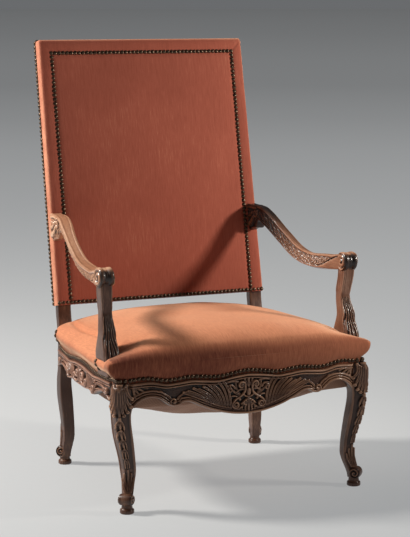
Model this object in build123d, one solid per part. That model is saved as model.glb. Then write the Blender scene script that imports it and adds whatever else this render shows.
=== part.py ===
"""High-backed open armchair: carved show-wood frame, sprung seat, padded flat back and nailed velvet covers.

Units are millimetres. X runs to the sitter's left as seen from the front (viewer's right), Y runs from the
front of the chair to its back, and Z is up. The model is built about the middle of the four feet, and is
moved at the end so that its origin is the centre of its box on the floor.
"""

import math
import os

from build123d import *

# Feet and legs
front_foot_x = 325.0
front_foot_y = -268.0
rear_foot_x = 294.0
rear_foot_y = 268.0
foot_radius = 18.0
foot_height = 12.0
foot_waist_radius = 14.0
scroll_radius = 16.5
scroll_length = 40.0
rear_scroll_length = 30.0
scroll_reach = 6.0
scroll_centre_z = 36.0
leg_neck_width = 24.0
leg_neck_z = 20.0
ankle_z = 90.0
front_ankle_width = 31.0
front_knee_width = 44.0
front_knee_drop = 22.0
front_ankle_in = 12.0
front_ankle_back = 21.0
front_knee_out = 10.0
front_knee_back = 13.0
rear_ankle_width = 29.0
rear_knee_width = 31.0
rear_knee_drop = 37.0
rear_ankle_in = 5.5
rear_ankle_forward = 12.0
rear_knee_out = 2.0
rear_knee_forward = 6.0
leg_edge = 5.0

# Seat frame
leg_block_size = 50.0
leg_block_height = 64.0
leg_block_drop = 14.0
post_width = 45.0
post_depth = 29.0
post_block_height = 62.0
post_out = 20.5
post_forward = 25.0
rail_top = 346.0
rail_height = 74.0
rabbet = 8.0
apron_thickness = 24.0
side_apron_thickness = 18.0
front_rail_setback = 4.0
front_rail_bow = 20.0
front_lip_wave = 5.0
front_arch_rise = 20.0
front_lobe_drop = 6.0
front_lobe_from_leg = 104.0
front_lobe_width = 26.0
front_centre_drop = 42.0
side_rail_setback = 6.0
side_rail_bow = 7.0
side_rail_rear_out = 3.5
side_rail_depth = 30.0
side_lip_drop = 1.0
side_lip_wave = 4.0
side_arch_rise = 21.0
side_lobe_rise = 2.0
rear_rail_depth = 24.0
tenon_thickness = 10.0
tenon_height = 34.0
tenon_length = 22.0
tenon_drop = 44.0
joint_clearance = 0.2
corner_block_leg = 46.0
corner_block_height = 40.0
peg_radius = 3.5
peg_cover = 8.0

# Back frame, in the raked plane of the back's front face
back_rake = 11.4
back_forward = 12.0
back_lift = 103.0
back_height = 735.0
back_taper = 5.5
border_pad = 8.0
side_pad = 4.0
back_frame_depth = 26.0
stile_width = 44.0
crest_height = 60.0
lower_rail_height = 50.0
post_front_step = 2.0

# Arms
arm_width = 32.0
arm_height = 32.0
arm_root_height = 66.0
arm_edge = 8.0
arm_stations = 16
arm_root_inset = 14.9
arm_root_rise = 215.0
arm_hump_forward = 30.0
arm_hump_rise = 9.0
arm_low_share = 0.345
arm_low_drop = 14.0
arm_low_inset = 40.0
knuckle_inset = 13.0
knuckle_back = 100.0
knuckle_rise = 243.0
knuckle_radius = 25.0
knuckle_length = 38.0
arm_tenon_width = 12.0
arm_tenon_length = 16.0
support_foot_inset = 15.0
support_foot_forward = 19.0
support_foot_width = 33.0
support_foot_depth = 60.0
support_waist_inset = 19.0
support_waist_back = 12.0
support_waist_width = 28.0
support_waist_depth = 35.0
support_top_depth = 37.0
support_stations = 10
support_tenon_width = 9.0
support_tenon_length = 20.0

# Seat upholstery
cover_thickness = 2.5
fit_gap = 0.3
seat_bulge = 12.0
seat_ear = 16.0
seat_bulge_rise = 26.0
seat_base_rise = 7.0
seat_edge_half = 8.0
seat_corner_round = 20.0
seat_rear_overhang = 8.0
seat_front_edge_rise = 42.0
seat_crown_rise = 110.0
seat_rear_rise = 78.0
seat_rear_reach = 25.0
canvas_rise = 26.0
canvas_thickness = 1.5
web_width = 60.0
web_thickness = 2.0
web_count_across = 4
web_count_deep = 4
web_edge_gap = 6.0
cloth_sag = 82.0
bottom_cloth_thickness = 1.5
spring_pitch_x = 250.0
spring_pitch_y = 210.0
spring_radius = 34.0
spring_wire = 3.6
spring_turns = 3
spring_steps = 8

# Back upholstery
nail_to_arm = 1.5
panel_top_margin = 38.0
panel_crown = 16.0
panel_steps = 8
back_web_width = 60.0
back_web_thickness = 1.0
back_canvas_thickness = 0.8

# Upholstery nails
nail_radius = 5.5
nail_height = 3.5
nail_pitch = 11.7
nail_edge = 6.0
nail_sides = 4

# Levels and places that follow from the sizes above
rail_bottom = rail_top - rail_height
peg_length = leg_block_size - peg_cover
leg_block_top = rail_top - leg_block_drop
leg_block_bottom = leg_block_top - leg_block_height
post_block_top = rail_top
post_block_bottom = post_block_top - post_block_height
front_knee_z = rail_bottom - front_knee_drop
rear_knee_z = rail_bottom - rear_knee_drop
tenon_centre_z = rail_top - tenon_drop
front_lip_z = leg_block_top
front_arch_z = rail_bottom + front_arch_rise
front_lobe_z = rail_bottom - front_lobe_drop
front_drop_z = rail_bottom - front_centre_drop
side_lip_z = leg_block_top - side_lip_drop
side_arch_z = rail_bottom + side_arch_rise
side_lobe_z = rail_bottom + side_lobe_rise
post_outer_x = rear_foot_x + post_out
post_block_front_y = rear_foot_y - post_forward
side_rail_rear_x = post_outer_x + side_rail_rear_out
seat_base_z = rail_top + seat_base_rise
seat_bulge_z = rail_top + seat_bulge_rise
seat_front_edge_z = rail_top + seat_front_edge_rise
seat_crown_z = rail_top + seat_crown_rise
seat_rear_z = rail_top + seat_rear_rise
seat_rear_y = post_block_front_y + seat_rear_reach
canvas_z = rail_top + canvas_rise
back_bottom_y = rear_foot_y - back_forward
back_bottom_z = rail_top + back_lift
back_bottom_half = post_outer_x
back_top_half = back_bottom_half - back_taper


def smooth(t):
    """Smooth step from 0 to 1."""
    t = min(1.0, max(0.0, t))
    return t * t * (3 - 2 * t)


def mix(a, b, t):
    return a + (b - a) * t


def box_between(low, high):
    """Box from its lowest corner to its highest corner."""
    size = [h - l for l, h in zip(low, high)]
    return Pos(*low) * Box(*size, align=(Align.MIN, Align.MIN, Align.MIN))


def prism(points, z_low, z_high):
    """Upright prism on a plan given by straight sides."""
    face = make_face(Polyline([(x, y, z_low) for x, y in points], close=True))
    return extrude(face, amount=z_high - z_low, dir=(0, 0, 1))


def eased(width, depth, cut):
    """Rectangle with its corners taken off, as a section for the shaped pieces."""
    x, y = width / 2, depth / 2
    points = [(x - cut, -y), (x, cut - y), (x, y - cut), (x - cut, y)]
    points += [(-px, -py) for px, py in points]
    return make_face(Polyline([(px, py, 0) for px, py in points], close=True))


def mirrored(shape):
    """The same piece on the chair's other side."""
    return mirror(shape, about=Plane.YZ)


def group(solids):
    """Separate solids that share one node."""
    return Compound([part for solid in solids for part in solid.solids()])


def one_solid(shape):
    """The largest solid of a shape, without the slivers that a cut can leave."""
    return max(shape.solids(), key=lambda solid: solid.volume)


# Legs


def leg_centre(z, neck, ankle, knee, knee_z):
    """Centre line of a cabriole leg at height z: neck above the foot, then ankle, then knee."""
    if z < ankle_z:
        t = smooth((z - leg_neck_z) / (ankle_z - leg_neck_z))
        return tuple(mix(a, b, t) for a, b in zip(neck, ankle))
    t = smooth((z - ankle_z) / (knee_z - ankle_z))
    return tuple(mix(a, b, t) for a, b in zip(ankle, knee))


def leg_width(z, ankle_width, knee_width, knee_z):
    if z < ankle_z:
        return mix(leg_neck_width, ankle_width, smooth((z - leg_neck_z) / (ankle_z - leg_neck_z)))
    return mix(ankle_width, knee_width, smooth((z - ankle_z) / (knee_z - ankle_z)))


def scroll_foot(x, y, out_y, length):
    """Turned base with a scroll that rolls outwards over it. out_y is -1 on a front leg, +1 on a rear leg."""
    profile = make_face(
        Polyline(
            [
                (0, 0, 0),
                (foot_radius, 0, 0),
                (foot_radius, 0, foot_height),
                (foot_waist_radius, 0, foot_height),
                (foot_waist_radius, 0, scroll_centre_z),
                (0, 0, scroll_centre_z),
            ],
            close=True,
        )
    )
    base = Pos(x, y, 0) * revolve(profile, axis=Axis.Z)
    out = Vector(1, out_y, 0).normalized()
    axis = Vector(out_y, -1, 0).normalized()
    centre = Vector(x, y, scroll_centre_z) + out * scroll_reach
    roll_plane = Plane(origin=centre, z_dir=axis)
    return base + roll_plane * Cylinder(scroll_radius, length)


def cabriole(foot, neck_shift, ankle_shift, knee_shift, ankle_width, knee_width, knee_z, top_section):
    """Curved leg from the neck over the foot up to the given top section."""
    neck = (foot[0] + neck_shift[0], foot[1] + neck_shift[1])
    ankle = (foot[0] + ankle_shift[0], foot[1] + ankle_shift[1])
    knee = (foot[0] + knee_shift[0], foot[1] + knee_shift[1])
    heights = [leg_neck_z + (ankle_z - leg_neck_z) * i / 4 for i in range(4)]
    heights += [ankle_z + (knee_z - ankle_z) * i / 8 for i in range(9)]
    sections = []
    for z in heights:
        x, y = leg_centre(z, neck, ankle, knee, knee_z)
        width = leg_width(z, ankle_width, knee_width, knee_z)
        sections.append(Pos(x, y, z) * eased(width, width, leg_edge))
    return loft(sections + [top_section], ruled=True)


front_block_x = front_foot_x + front_knee_out
front_block_y = front_foot_y + front_knee_back
front_shoulder_x = front_block_x - leg_block_size / 2
front_shoulder_y = front_block_y + leg_block_size / 2
leg_outer_x = front_block_x + leg_block_size / 2
leg_front_y = front_block_y - leg_block_size / 2
post_centre_x = post_outer_x - post_width / 2
post_centre_y = post_block_front_y + post_depth / 2
post_inner_x = post_outer_x - post_width
post_block_rear_y = post_block_front_y + post_depth
knuckle_x = leg_outer_x - knuckle_inset
knuckle_y = leg_front_y + knuckle_back
knuckle_z = rail_top + knuckle_rise
support_foot_x = leg_outer_x - support_foot_inset
support_foot_y = knuckle_y - support_foot_forward
support_waist_x = leg_outer_x - support_waist_inset
support_waist_y = knuckle_y + support_waist_back


def front_leg_blank():
    """Right front leg before its mortises are cut."""
    plan = eased(leg_block_size, leg_block_size, leg_edge)
    seat_section = Pos(front_block_x, front_block_y, leg_block_bottom) * plan
    curve = cabriole(
        (front_foot_x, front_foot_y),
        (-front_ankle_in / 6, front_ankle_back / 6),
        (-front_ankle_in, front_ankle_back),
        (front_knee_out, front_knee_back),
        front_ankle_width,
        front_knee_width,
        front_knee_z,
        seat_section,
    )
    block = extrude(seat_section, amount=leg_block_top - leg_block_bottom, dir=(0, 0, 1))
    return curve + block + scroll_foot(front_foot_x, front_foot_y, -1, scroll_length)


# Planes and outlines of the back

rake = math.radians(back_rake)
back_plane = Plane(
    origin=(0, back_bottom_y, back_bottom_z),
    x_dir=(1, 0, 0),
    z_dir=(0, -math.cos(rake), math.sin(rake)),
)
frame_front_w = -border_pad
frame_rear_w = frame_front_w - back_frame_depth
border_rear_w = frame_rear_w - cover_thickness


def back_point(x, v, w):
    """Point at x across, v up and w in front of the back's face."""
    return back_plane.from_local_coords(Vector(x, v, w))


def straight_sided(points):
    return make_face(Polyline(points, close=True))


def back_half(v, inset=0.0):
    """Half width of the upholstered back at height v up its face."""
    return mix(back_bottom_half, back_top_half, v / back_height) - inset


def back_slab(points, w_low, w_high):
    """Prism on an outline in the back's face, from depth w_low to w_high."""
    face = make_face(Polyline([(x, v, 0) for x, v in points], close=True))
    solid = extrude(Pos(0, 0, w_low) * face, amount=w_high - w_low, dir=(0, 0, 1))
    return back_plane * solid


def back_trapezium(inset_side, v_low, v_high):
    """Outline of the back between two heights, drawn in at its sides."""
    return [
        (-back_half(v_low, inset_side), v_low),
        (back_half(v_low, inset_side), v_low),
        (back_half(v_high, inset_side), v_high),
        (-back_half(v_high, inset_side), v_high),
    ]


frame_top_v = back_height - side_pad
arm_root_z = back_bottom_z + arm_root_rise
arm_root_v = arm_root_rise / math.cos(rake)
arm_root_x = back_half(arm_root_v) - arm_root_inset
arm_hump_y = back_bottom_y - arm_hump_forward
arm_hump_z = arm_root_z + arm_hump_rise
arm_low_x = leg_outer_x - arm_low_inset
arm_low_y = mix(knuckle_y, arm_hump_y, arm_low_share)
arm_low_z = knuckle_z - arm_low_drop


def stile_inner(v):
    return back_half(v, side_pad) - stile_width


def rear_post_blank():
    """Right rear leg and back stile in one piece, before its mortises are cut."""
    block_section = Pos(post_centre_x, post_centre_y, post_block_bottom) * eased(
        post_width, post_depth, leg_edge
    )
    curve = cabriole(
        (rear_foot_x, rear_foot_y),
        (-rear_ankle_in / 6, -rear_ankle_forward / 6),
        (-rear_ankle_in, -rear_ankle_forward),
        (rear_knee_out, -rear_knee_forward),
        rear_ankle_width,
        rear_knee_width,
        rear_knee_z,
        block_section,
    )
    block = extrude(block_section, amount=post_block_top - post_block_bottom, dir=(0, 0, 1))
    plan_y = (post_block_front_y + joint_clearance, post_block_rear_y - joint_clearance)
    plan_x = (post_inner_x + joint_clearance, post_outer_x - joint_clearance)
    block_top = straight_sided(
        [(plan_x[i], plan_y[j], post_block_top) for i, j in ((0, 0), (1, 0), (1, 1), (0, 1))]
    )
    foot_w = (-post_front_step, frame_rear_w)
    foot_x = (post_inner_x, post_outer_x)
    stile_foot = straight_sided(
        [back_point(foot_x[i], 0, foot_w[j]) for i, j in ((0, 0), (1, 0), (1, 1), (0, 1))]
    )
    neck = loft([block_top, stile_foot], ruled=True)
    stile = back_slab(
        [
            (stile_inner(-fit_gap), -fit_gap),
            (back_half(-fit_gap, side_pad), -fit_gap),
            (back_half(frame_top_v, side_pad), frame_top_v),
            (stile_inner(frame_top_v), frame_top_v),
        ],
        frame_rear_w,
        frame_front_w,
    )
    return curve + block + neck + stile + scroll_foot(rear_foot_x, rear_foot_y, 1, rear_scroll_length)


# Rails of the seat


def front_arc(shift_y, z):
    """Plan curve of the front rail's face, moved back by shift_y."""
    end_y = leg_front_y + front_rail_setback + shift_y
    return ThreePointArc(
        (-front_shoulder_x, end_y, z),
        (0, end_y - front_rail_bow, z),
        (front_shoulder_x, end_y, z),
    )


def front_band(from_y, to_y, z_low, z_high):
    """Bowed strip of the front rail between two set-backs from its face."""
    near = front_arc(from_y, z_low)
    far = front_arc(to_y, z_low)
    ends = [Line(near @ 0, far @ 0), Line(near @ 1, far @ 1)]
    return extrude(make_face([near, far] + ends), amount=z_high - z_low, dir=(0, 0, 1))


def front_lip_outline(y):
    """Front elevation of the carved apron: waved top, and arches, lobes and a centre drop below."""
    end = front_shoulder_x
    lobe = end - front_lobe_from_leg
    inner = lobe - front_lobe_width
    high = front_lip_z + front_lip_wave
    low = front_lip_z - front_lip_wave
    half = [
        (end, front_lip_z),
        (end - 42, front_lip_z + front_lip_wave / 2),
        (end - 88, low),
        (end / 2, front_lip_z),
        (end * 0.27, low),
        (0, high),
    ]
    points = half + [(-x, z) for x, z in reversed(half[:-1])]
    top = Spline([(x, y, z) for x, z in points])
    left_top, right_top = (-end, y, front_lip_z), (end, y, front_lip_z)
    edges = [top]
    for side in (1, -1):
        foot = (side * end, y, leg_block_bottom)
        arch = (side * (end - 48), y, front_arch_z)
        lobe_out = (side * (lobe + front_lobe_width / 2), y, front_lobe_z + 4)
        lobe_in = (side * inner, y, front_lobe_z + 8)
        edges += [
            Line(right_top if side > 0 else left_top, foot),
            ThreePointArc(foot, arch, lobe_out),
            ThreePointArc(lobe_out, (side * (lobe - front_lobe_width / 4), y, front_lobe_z), lobe_in),
            Spline(
                [lobe_in, (side * (inner - 45), y, mix(front_lobe_z, front_drop_z, 0.1)), (0, y, front_drop_z)],
                tangents=[(-side * 0.9, 0, 0.45), (-side, 0, 0)],
            ),
        ]
    return make_face(edges)


def front_face_y(x, shift_y=0.0):
    """Y of the front rail's bowed face at x, moved back by shift_y."""
    radius = (front_shoulder_x**2 + front_rail_bow**2) / (2 * front_rail_bow)
    end_y = leg_front_y + front_rail_setback + shift_y
    x = min(abs(x), front_shoulder_x)
    return end_y - front_rail_bow + radius - math.sqrt(radius**2 - x**2)


def front_rail():
    reach = leg_front_y - front_rail_bow - apron_thickness
    lip_prism = extrude(front_lip_outline(reach), amount=5 * apron_thickness, dir=(0, 1, 0))
    z_low, z_high = front_drop_z - 10, front_lip_z + 3 * front_lip_wave
    lip = front_band(0, apron_thickness, z_low, z_high) & lip_prism
    face = front_arc(rabbet, rail_bottom)
    corners = [(side * front_shoulder_x, front_shoulder_y, rail_bottom) for side in (-1, 1)]
    plan = make_face([face, Line(face @ 0, corners[0]), Line(*corners), Line(corners[1], face @ 1)])
    rail = lip + extrude(plan, amount=rail_top - rail_bottom, dir=(0, 0, 1))
    for side in (1, -1):
        rail += front_tenon(side, 0.0)
    for peg in (front_peg(joint_clearance), mirrored(front_peg(joint_clearance))):
        rail -= peg
    return rail


tenon_front_y = leg_front_y + front_rail_setback + rabbet + tenon_thickness / 2


def tenon_box(centre, size, grow):
    return Pos(*centre) * Box(*[s + 2 * grow for s in size])


def front_tenon(side, grow):
    centre = (side * (front_shoulder_x + tenon_length / 2), tenon_front_y, tenon_centre_z)
    return tenon_box(centre, (tenon_length, tenon_thickness, tenon_height), grow)


def side_arc(shift_x, z):
    """Plan curve of the right side rail's face, moved inwards by shift_x."""
    front_x = leg_outer_x - side_rail_setback - shift_x
    rear_x = side_rail_rear_x - shift_x
    middle = ((front_x + rear_x) / 2 + side_rail_bow, (front_shoulder_y + post_block_front_y) / 2)
    return ThreePointArc(
        (front_x, front_shoulder_y, z), (*middle, z), (rear_x, post_block_front_y, z)
    )


def side_band(from_x, to_x, z_low, z_high):
    near = side_arc(from_x, z_low)
    far = side_arc(to_x, z_low)
    ends = [Line(near @ 0, far @ 0), Line(near @ 1, far @ 1)]
    return extrude(make_face([near, far] + ends), amount=z_high - z_low, dir=(0, 0, 1))


def side_lip_outline(x):
    """Side elevation of the carved side rail: waved top, and arches and lobes below."""
    y0, y1 = front_shoulder_y, post_block_front_y
    span = y1 - y0
    middle = (y0 + y1) / 2
    top = Spline(
        [
            (x, y0, side_lip_z),
            (x, y0 + span * 0.28, side_lip_z - side_lip_wave),
            (x, middle, side_lip_z + side_lip_wave),
            (x, y1 - span * 0.28, side_lip_z - side_lip_wave),
            (x, y1, side_lip_z),
        ]
    )
    edges = [top]
    for start, sign in ((y0, 1), (y1, -1)):
        foot = (x, start, side_lobe_z + 6)
        lobe_out = (x, start + sign * span * 0.24, side_lobe_z + 3)
        lobe_in = (x, start + sign * span * 0.33, side_lobe_z + 5)
        edges += [
            Line((x, start, side_lip_z), foot),
            ThreePointArc(foot, (x, start + sign * span * 0.12, side_arch_z), lobe_out),
            ThreePointArc(lobe_out, (x, start + sign * span * 0.285, side_lobe_z), lobe_in),
        ]
    ends = [edges[3] @ 1, edges[6] @ 1]
    edges.append(ThreePointArc(ends[0], (x, middle, side_lobe_z + 2), ends[1]))
    return make_face(edges)


tenon_side_front_x = leg_outer_x - side_rail_setback - rabbet - tenon_thickness
tenon_side_rear_x = side_rail_rear_x - rabbet - tenon_thickness


def side_tenon_front(grow):
    centre = (tenon_side_front_x, front_shoulder_y - tenon_length / 2, tenon_centre_z)
    return tenon_box(centre, (tenon_thickness, tenon_length, tenon_height), grow)


post_tenon_length = post_depth * 0.7


def side_tenon_rear(grow):
    centre = (tenon_side_rear_x, post_block_front_y + post_tenon_length / 2, tenon_centre_z)
    return tenon_box(centre, (tenon_thickness, post_tenon_length, tenon_height), grow)


def side_rail():
    """Right side rail."""
    reach = side_rail_rear_x - 3 * side_rail_depth
    lip_prism = extrude(side_lip_outline(reach), amount=6 * side_rail_depth, dir=(1, 0, 0))
    z_low, z_high = side_lobe_z - 10, side_lip_z + 3 * side_lip_wave
    lip = side_band(0, side_apron_thickness, z_low, z_high) & lip_prism
    beam = side_band(rabbet, side_rail_depth, rail_bottom, rail_top)
    rail = lip + beam + side_tenon_front(0.0) + side_tenon_rear(0.0)
    return rail - side_peg(joint_clearance) - support_foot_tenon(joint_clearance)


def rear_tenon(side, grow):
    length = tenon_length / 2
    centre = (side * (post_inner_x + length / 2), post_block_rear_y - tenon_thickness, tenon_centre_z)
    return tenon_box(centre, (length, tenon_thickness / 2, tenon_height), grow)


def rear_rail():
    y_high = post_block_rear_y - joint_clearance
    rail = box_between(
        (-post_inner_x, y_high - rear_rail_depth, rail_bottom), (post_inner_x, y_high, rail_top)
    )
    return rail + rear_tenon(1, 0.0) + rear_tenon(-1, 0.0)


# Rails of the back


def back_rail_outline(v_low, v_high):
    return [
        (-stile_inner(v_low), v_low),
        (stile_inner(v_low), v_low),
        (stile_inner(v_high), v_high),
        (-stile_inner(v_high), v_high),
    ]


def back_tenon(side, v_low, v_high, grow):
    """Tenon of a back rail, in the middle of the frame's depth."""
    v_mid = (v_low + v_high) / 2
    centre = (side * stile_inner(v_mid), v_mid, (frame_front_w + frame_rear_w) / 2)
    size = (2 * tenon_length, (v_high - v_low) * 0.6, tenon_thickness)
    return back_plane * tenon_box(centre, size, grow)


crest_span = (frame_top_v - crest_height, frame_top_v)
lower_span = (0.0, lower_rail_height)


def back_rail(span):
    rail = back_slab(back_rail_outline(*span), frame_rear_w, frame_front_w)
    return rail + back_tenon(1, *span, 0.0) + back_tenon(-1, *span, 0.0)


# Arms

def arm_path():
    """Centre line of the right arm, from the back post to the knuckle."""
    root_y = back_bottom_y + (arm_root_z - back_bottom_z) * math.tan(rake)
    root_point = (arm_root_x, root_y + 2 * border_pad, arm_root_z)
    drop_y = (arm_hump_y + arm_low_y) / 2
    return Spline(
        [
            root_point,
            (arm_root_x + 2, arm_hump_y + 34, arm_hump_z - 2),
            (arm_root_x + 4, arm_hump_y - 12, arm_hump_z - 5),
            (mix(arm_root_x, arm_low_x, 0.66), drop_y + 30, mix(arm_low_z, arm_hump_z, 0.46)),
            (arm_low_x - 3, drop_y - 50, mix(arm_low_z, arm_hump_z, 0.11)),
            (arm_low_x, arm_low_y, arm_low_z),
            (mix(arm_low_x, knuckle_x, 0.55), mix(arm_low_y, knuckle_y, 0.55), arm_low_z + 5),
            (knuckle_x - 1, knuckle_y + 4, knuckle_z - 2),
        ]
    )


def between(stations, t):
    """Sizes at t, read smoothly between the stations of a table whose first column is t."""
    for low, high in zip(stations, stations[1:]):
        if t <= high[0]:
            share = smooth((t - low[0]) / (high[0] - low[0]))
            return [mix(a, b, share) for a, b in zip(low[1:], high[1:])]
    return list(stations[-1][1:])


def arm_blank():
    """Right arm with its knuckle, before its rear end is trimmed to the back."""
    path = arm_path()
    stations = (
        (0.0, arm_root_height, arm_width - 2),
        (0.09, arm_root_height * 0.78, arm_width - 1),
        (0.2, arm_height + 4, arm_width),
        (0.35, arm_height, arm_width),
        (0.55, arm_height, arm_width),
        (0.75, arm_height, arm_width + 1),
        (0.9, arm_height + 4, arm_width + 3),
        (1.0, arm_height + 6, knuckle_length - 2),
    )
    sections = []
    for i in range(arm_stations + 1):
        t = i / arm_stations
        height, width = between(stations, t)
        plane = Plane(origin=path @ t, x_dir=(1, 0, 0), z_dir=path % t)
        sections.append(plane * eased(width, height, arm_edge))
    roll_plane = Plane(origin=(knuckle_x, knuckle_y, knuckle_z), z_dir=(1, 0, 0))
    return loft(sections, ruled=True) + roll_plane * Cylinder(knuckle_radius, knuckle_length)


def arm_tenon(grow):
    """Round tenon from the arm's rear end into the back post."""
    local = back_plane.to_local_coords(Vector(arm_root_x, back_bottom_y, arm_root_z))
    start = Pos(local.X, local.Y, frame_front_w - arm_tenon_length / 2)
    return back_plane * start * Box(
        arm_tenon_width + 2 * grow, 2 * (arm_tenon_width + grow), arm_tenon_length + 2 * grow
    )


def behind_back_face(depth_w):
    """Everything behind a plane parallel to the back's face."""
    return back_slab(
        [(0, -back_height), (2 * back_top_half, -back_height), (2 * back_top_half, back_height), (0, back_height)],
        depth_w - back_bottom_half,
        depth_w,
    )


def arm():
    trimmed = one_solid(arm_blank() - behind_back_face(frame_front_w) - arm_support_tenon(joint_clearance))
    return trimmed + arm_tenon(0.0)


support_top_z = knuckle_z - knuckle_radius * 0.8


def support_tenon(grow):
    return Box(
        support_tenon_width + 2 * grow, 2 * support_tenon_width + 2 * grow, support_tenon_length + 2 * grow
    )


def arm_support_tenon(grow):
    """Round tenon from the support up into the arm's knuckle."""
    centre_z = support_top_z + support_tenon_length / 4
    return Pos(knuckle_x, knuckle_y, centre_z) * support_tenon(grow)


def support_foot_tenon(grow):
    """Round tenon from the support down into the side rail."""
    return Pos(support_foot_x - rabbet, support_foot_y, rail_top - support_tenon_length / 4) * support_tenon(grow)


def arm_support_blank(grow=0.0):
    """Right arm support, carved wider at its foot and drawn back at its waist."""
    waist_z = mix(rail_top, support_top_z, 0.66)
    knee_z = mix(rail_top, support_top_z, 0.2)
    stations = (
        (rail_top, support_foot_x - 3, support_foot_y + 3, support_foot_width - 2, support_foot_depth - 10),
        (knee_z, support_foot_x, support_foot_y, support_foot_width, support_foot_depth),
        (
            mix(knee_z, waist_z, 0.5),
            mix(support_foot_x, support_waist_x, 0.6),
            mix(support_foot_y, support_waist_y, 0.6),
            mix(support_foot_width, support_waist_width, 0.6),
            mix(support_foot_depth, support_waist_depth, 0.7),
        ),
        (waist_z, support_waist_x, support_waist_y, support_waist_width, support_waist_depth),
        (support_top_z - 4, knuckle_x - 1, knuckle_y + 4, support_waist_width + 3, support_top_depth),
        (knuckle_z, knuckle_x, knuckle_y + 2, support_waist_width + 4, support_top_depth),
    )
    sections = []
    for i in range(support_stations + 1):
        z = mix(rail_top, knuckle_z, i / support_stations)
        x, y, width, depth = between(stations, z)
        sections.append(Pos(x, y, z) * eased(width + 2 * grow, depth + 2 * grow, leg_edge))
    return loft(sections, ruled=True)


def arm_support(arm_solid):
    """Support whose top is hollowed to the underside of the arm's knuckle."""
    blank = arm_support_blank() - arm_solid
    stem = max(blank.solids(), key=lambda solid: -solid.center().Z)
    return stem + support_foot_tenon(0.0) + arm_support_tenon(0.0)


# Frame blocks and pegs


def peg(grow):
    """Riven peg with eight sides, about the origin."""
    return extrude(RegularPolygon(peg_radius + grow, 8), amount=peg_length / 2 + grow, both=True)


def front_peg(grow):
    """Peg through the front rail's tenon in the right leg."""
    y_high = front_shoulder_y
    plane = Plane(
        origin=(front_shoulder_x + tenon_length / 2, y_high - peg_length / 2, tenon_centre_z - tenon_height / 4),
        z_dir=(0, 1, 0),
    )
    return plane * peg(grow)


def side_peg(grow):
    """Peg through the side rail's tenon in the right leg."""
    plane = Plane(
        origin=(
            front_shoulder_x + peg_length / 2,
            front_shoulder_y - tenon_length / 2,
            tenon_centre_z + tenon_height / 4,
        ),
        z_dir=(1, 0, 0),
    )
    return plane * peg(grow)


# Seat upholstery

seat_front_half = leg_outer_x + seat_ear
seat_rear_half = side_rail_rear_x + seat_rear_overhang
belt_shift = rabbet - cover_thickness - fit_gap


def fan(f, y):
    """X on the seat's plan at share f of its half width: wide at the front and narrow at the back."""
    t = (y - leg_front_y) / (post_block_front_y - leg_front_y)
    return f * mix(seat_front_half, seat_rear_half, t)


def seat_crown(inset):
    """Crowned pad, built from upright slices that fan from front to back. inset shrinks it all round."""
    slices = []
    for f in (-1, -0.93, -0.8, -0.6, -0.3, 0, 0.3, 0.6, 0.8, 0.93, 1):
        fall = (1 - abs(f) ** 2.5) ** 0.8
        corner = abs(f) ** 6
        front_y = leg_front_y + front_rail_setback + belt_shift - front_rail_bow * (1 - f * f)
        front_y += seat_corner_round * corner + inset
        rear_y = seat_rear_y - inset
        high_z = seat_bulge_z + seat_edge_half
        bottom = mix(seat_base_z, seat_bulge_z - seat_edge_half, corner) + inset
        front_top = mix(high_z + cover_thickness, seat_front_edge_z, fall) - inset
        crown = mix(high_z + 2 * cover_thickness, seat_crown_z, fall) - inset
        rear_top = mix(high_z, seat_rear_z, fall) - inset
        nose = seat_bulge * (1 - 0.7 * corner)
        shrunk = f * (1 - inset / seat_front_half)

        def at(y, z):
            return (fan(shrunk, y), y, z)

        edge = at(front_y + seat_bulge, front_top)
        nose_line = Polyline(
            [
                at(rear_y, rear_top),
                at(rear_y, bottom),
                at(front_y, bottom),
                at(front_y - nose * 0.8, mix(bottom, front_top, 0.25)),
                at(front_y - nose, mix(bottom, front_top, 0.55)),
                at(front_y - nose * 0.35, mix(bottom, front_top, 0.87)),
                edge,
            ]
        )
        crown_arc = ThreePointArc(edge, at(mix(front_y, rear_y, 0.55), crown), at(rear_y, rear_top))
        slices.append(make_face([nose_line, crown_arc]))
    return loft(slices, ruled=True)


def seat_belt(inset, z_low, z_high):
    """Nailed lower edge of the seat cover: it follows the rabbets of the rails and crosses the leg tops."""
    face = front_arc(belt_shift + inset, z_low)
    side = side_arc(belt_shift + inset, z_low)
    other = mirrored(side)
    corner_x = side.position_at(0).X
    corner_y = face.position_at(0).Y
    rear = side_rail_rear_x - belt_shift - inset
    points = [
        (-corner_x, corner_y, z_low),
        (corner_x, corner_y, z_low),
        (rear, seat_rear_y - inset, z_low),
        (-rear, seat_rear_y - inset, z_low),
    ]
    plan = make_face(
        [
            face,
            side,
            other,
            Line(face @ 1, points[1]),
            Line(points[1], side @ 0),
            Line(side @ 1, points[2]),
            Line(points[2], points[3]),
            Line(points[3], other @ 1),
            Line(other @ 0, points[0]),
            Line(points[0], face @ 0),
        ]
    )
    return extrude(plan, amount=z_high - z_low, dir=(0, 0, 1))


def post_rooms():
    """Room that the seat leaves for the rear posts, out to the seat's sides."""
    low = (post_inner_x - fit_gap, post_block_front_y - fit_gap, rail_bottom)
    high = (2 * leg_outer_x, 2 * post_block_rear_y, seat_crown_z + rail_bottom)
    side = box_between(low, high)
    return [side, mirrored(side)]


def seat_cover(frame, supports):
    """Velvet shell over the pad, cut round the posts and the arm supports."""
    belt_low = min(front_lip_z - front_lip_wave, side_lip_z - side_lip_wave) - rabbet
    belt_high = seat_bulge_z
    cover = seat_crown(0) + seat_belt(0, belt_low, belt_high)
    cover -= seat_crown(cover_thickness)
    cover -= seat_belt(cover_thickness, belt_low - rabbet, belt_high)
    for piece in frame:
        cover -= Pos(0, 0, fit_gap) * piece
    for room in post_rooms() + supports:
        cover -= room
    return one_solid(cover)


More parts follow.
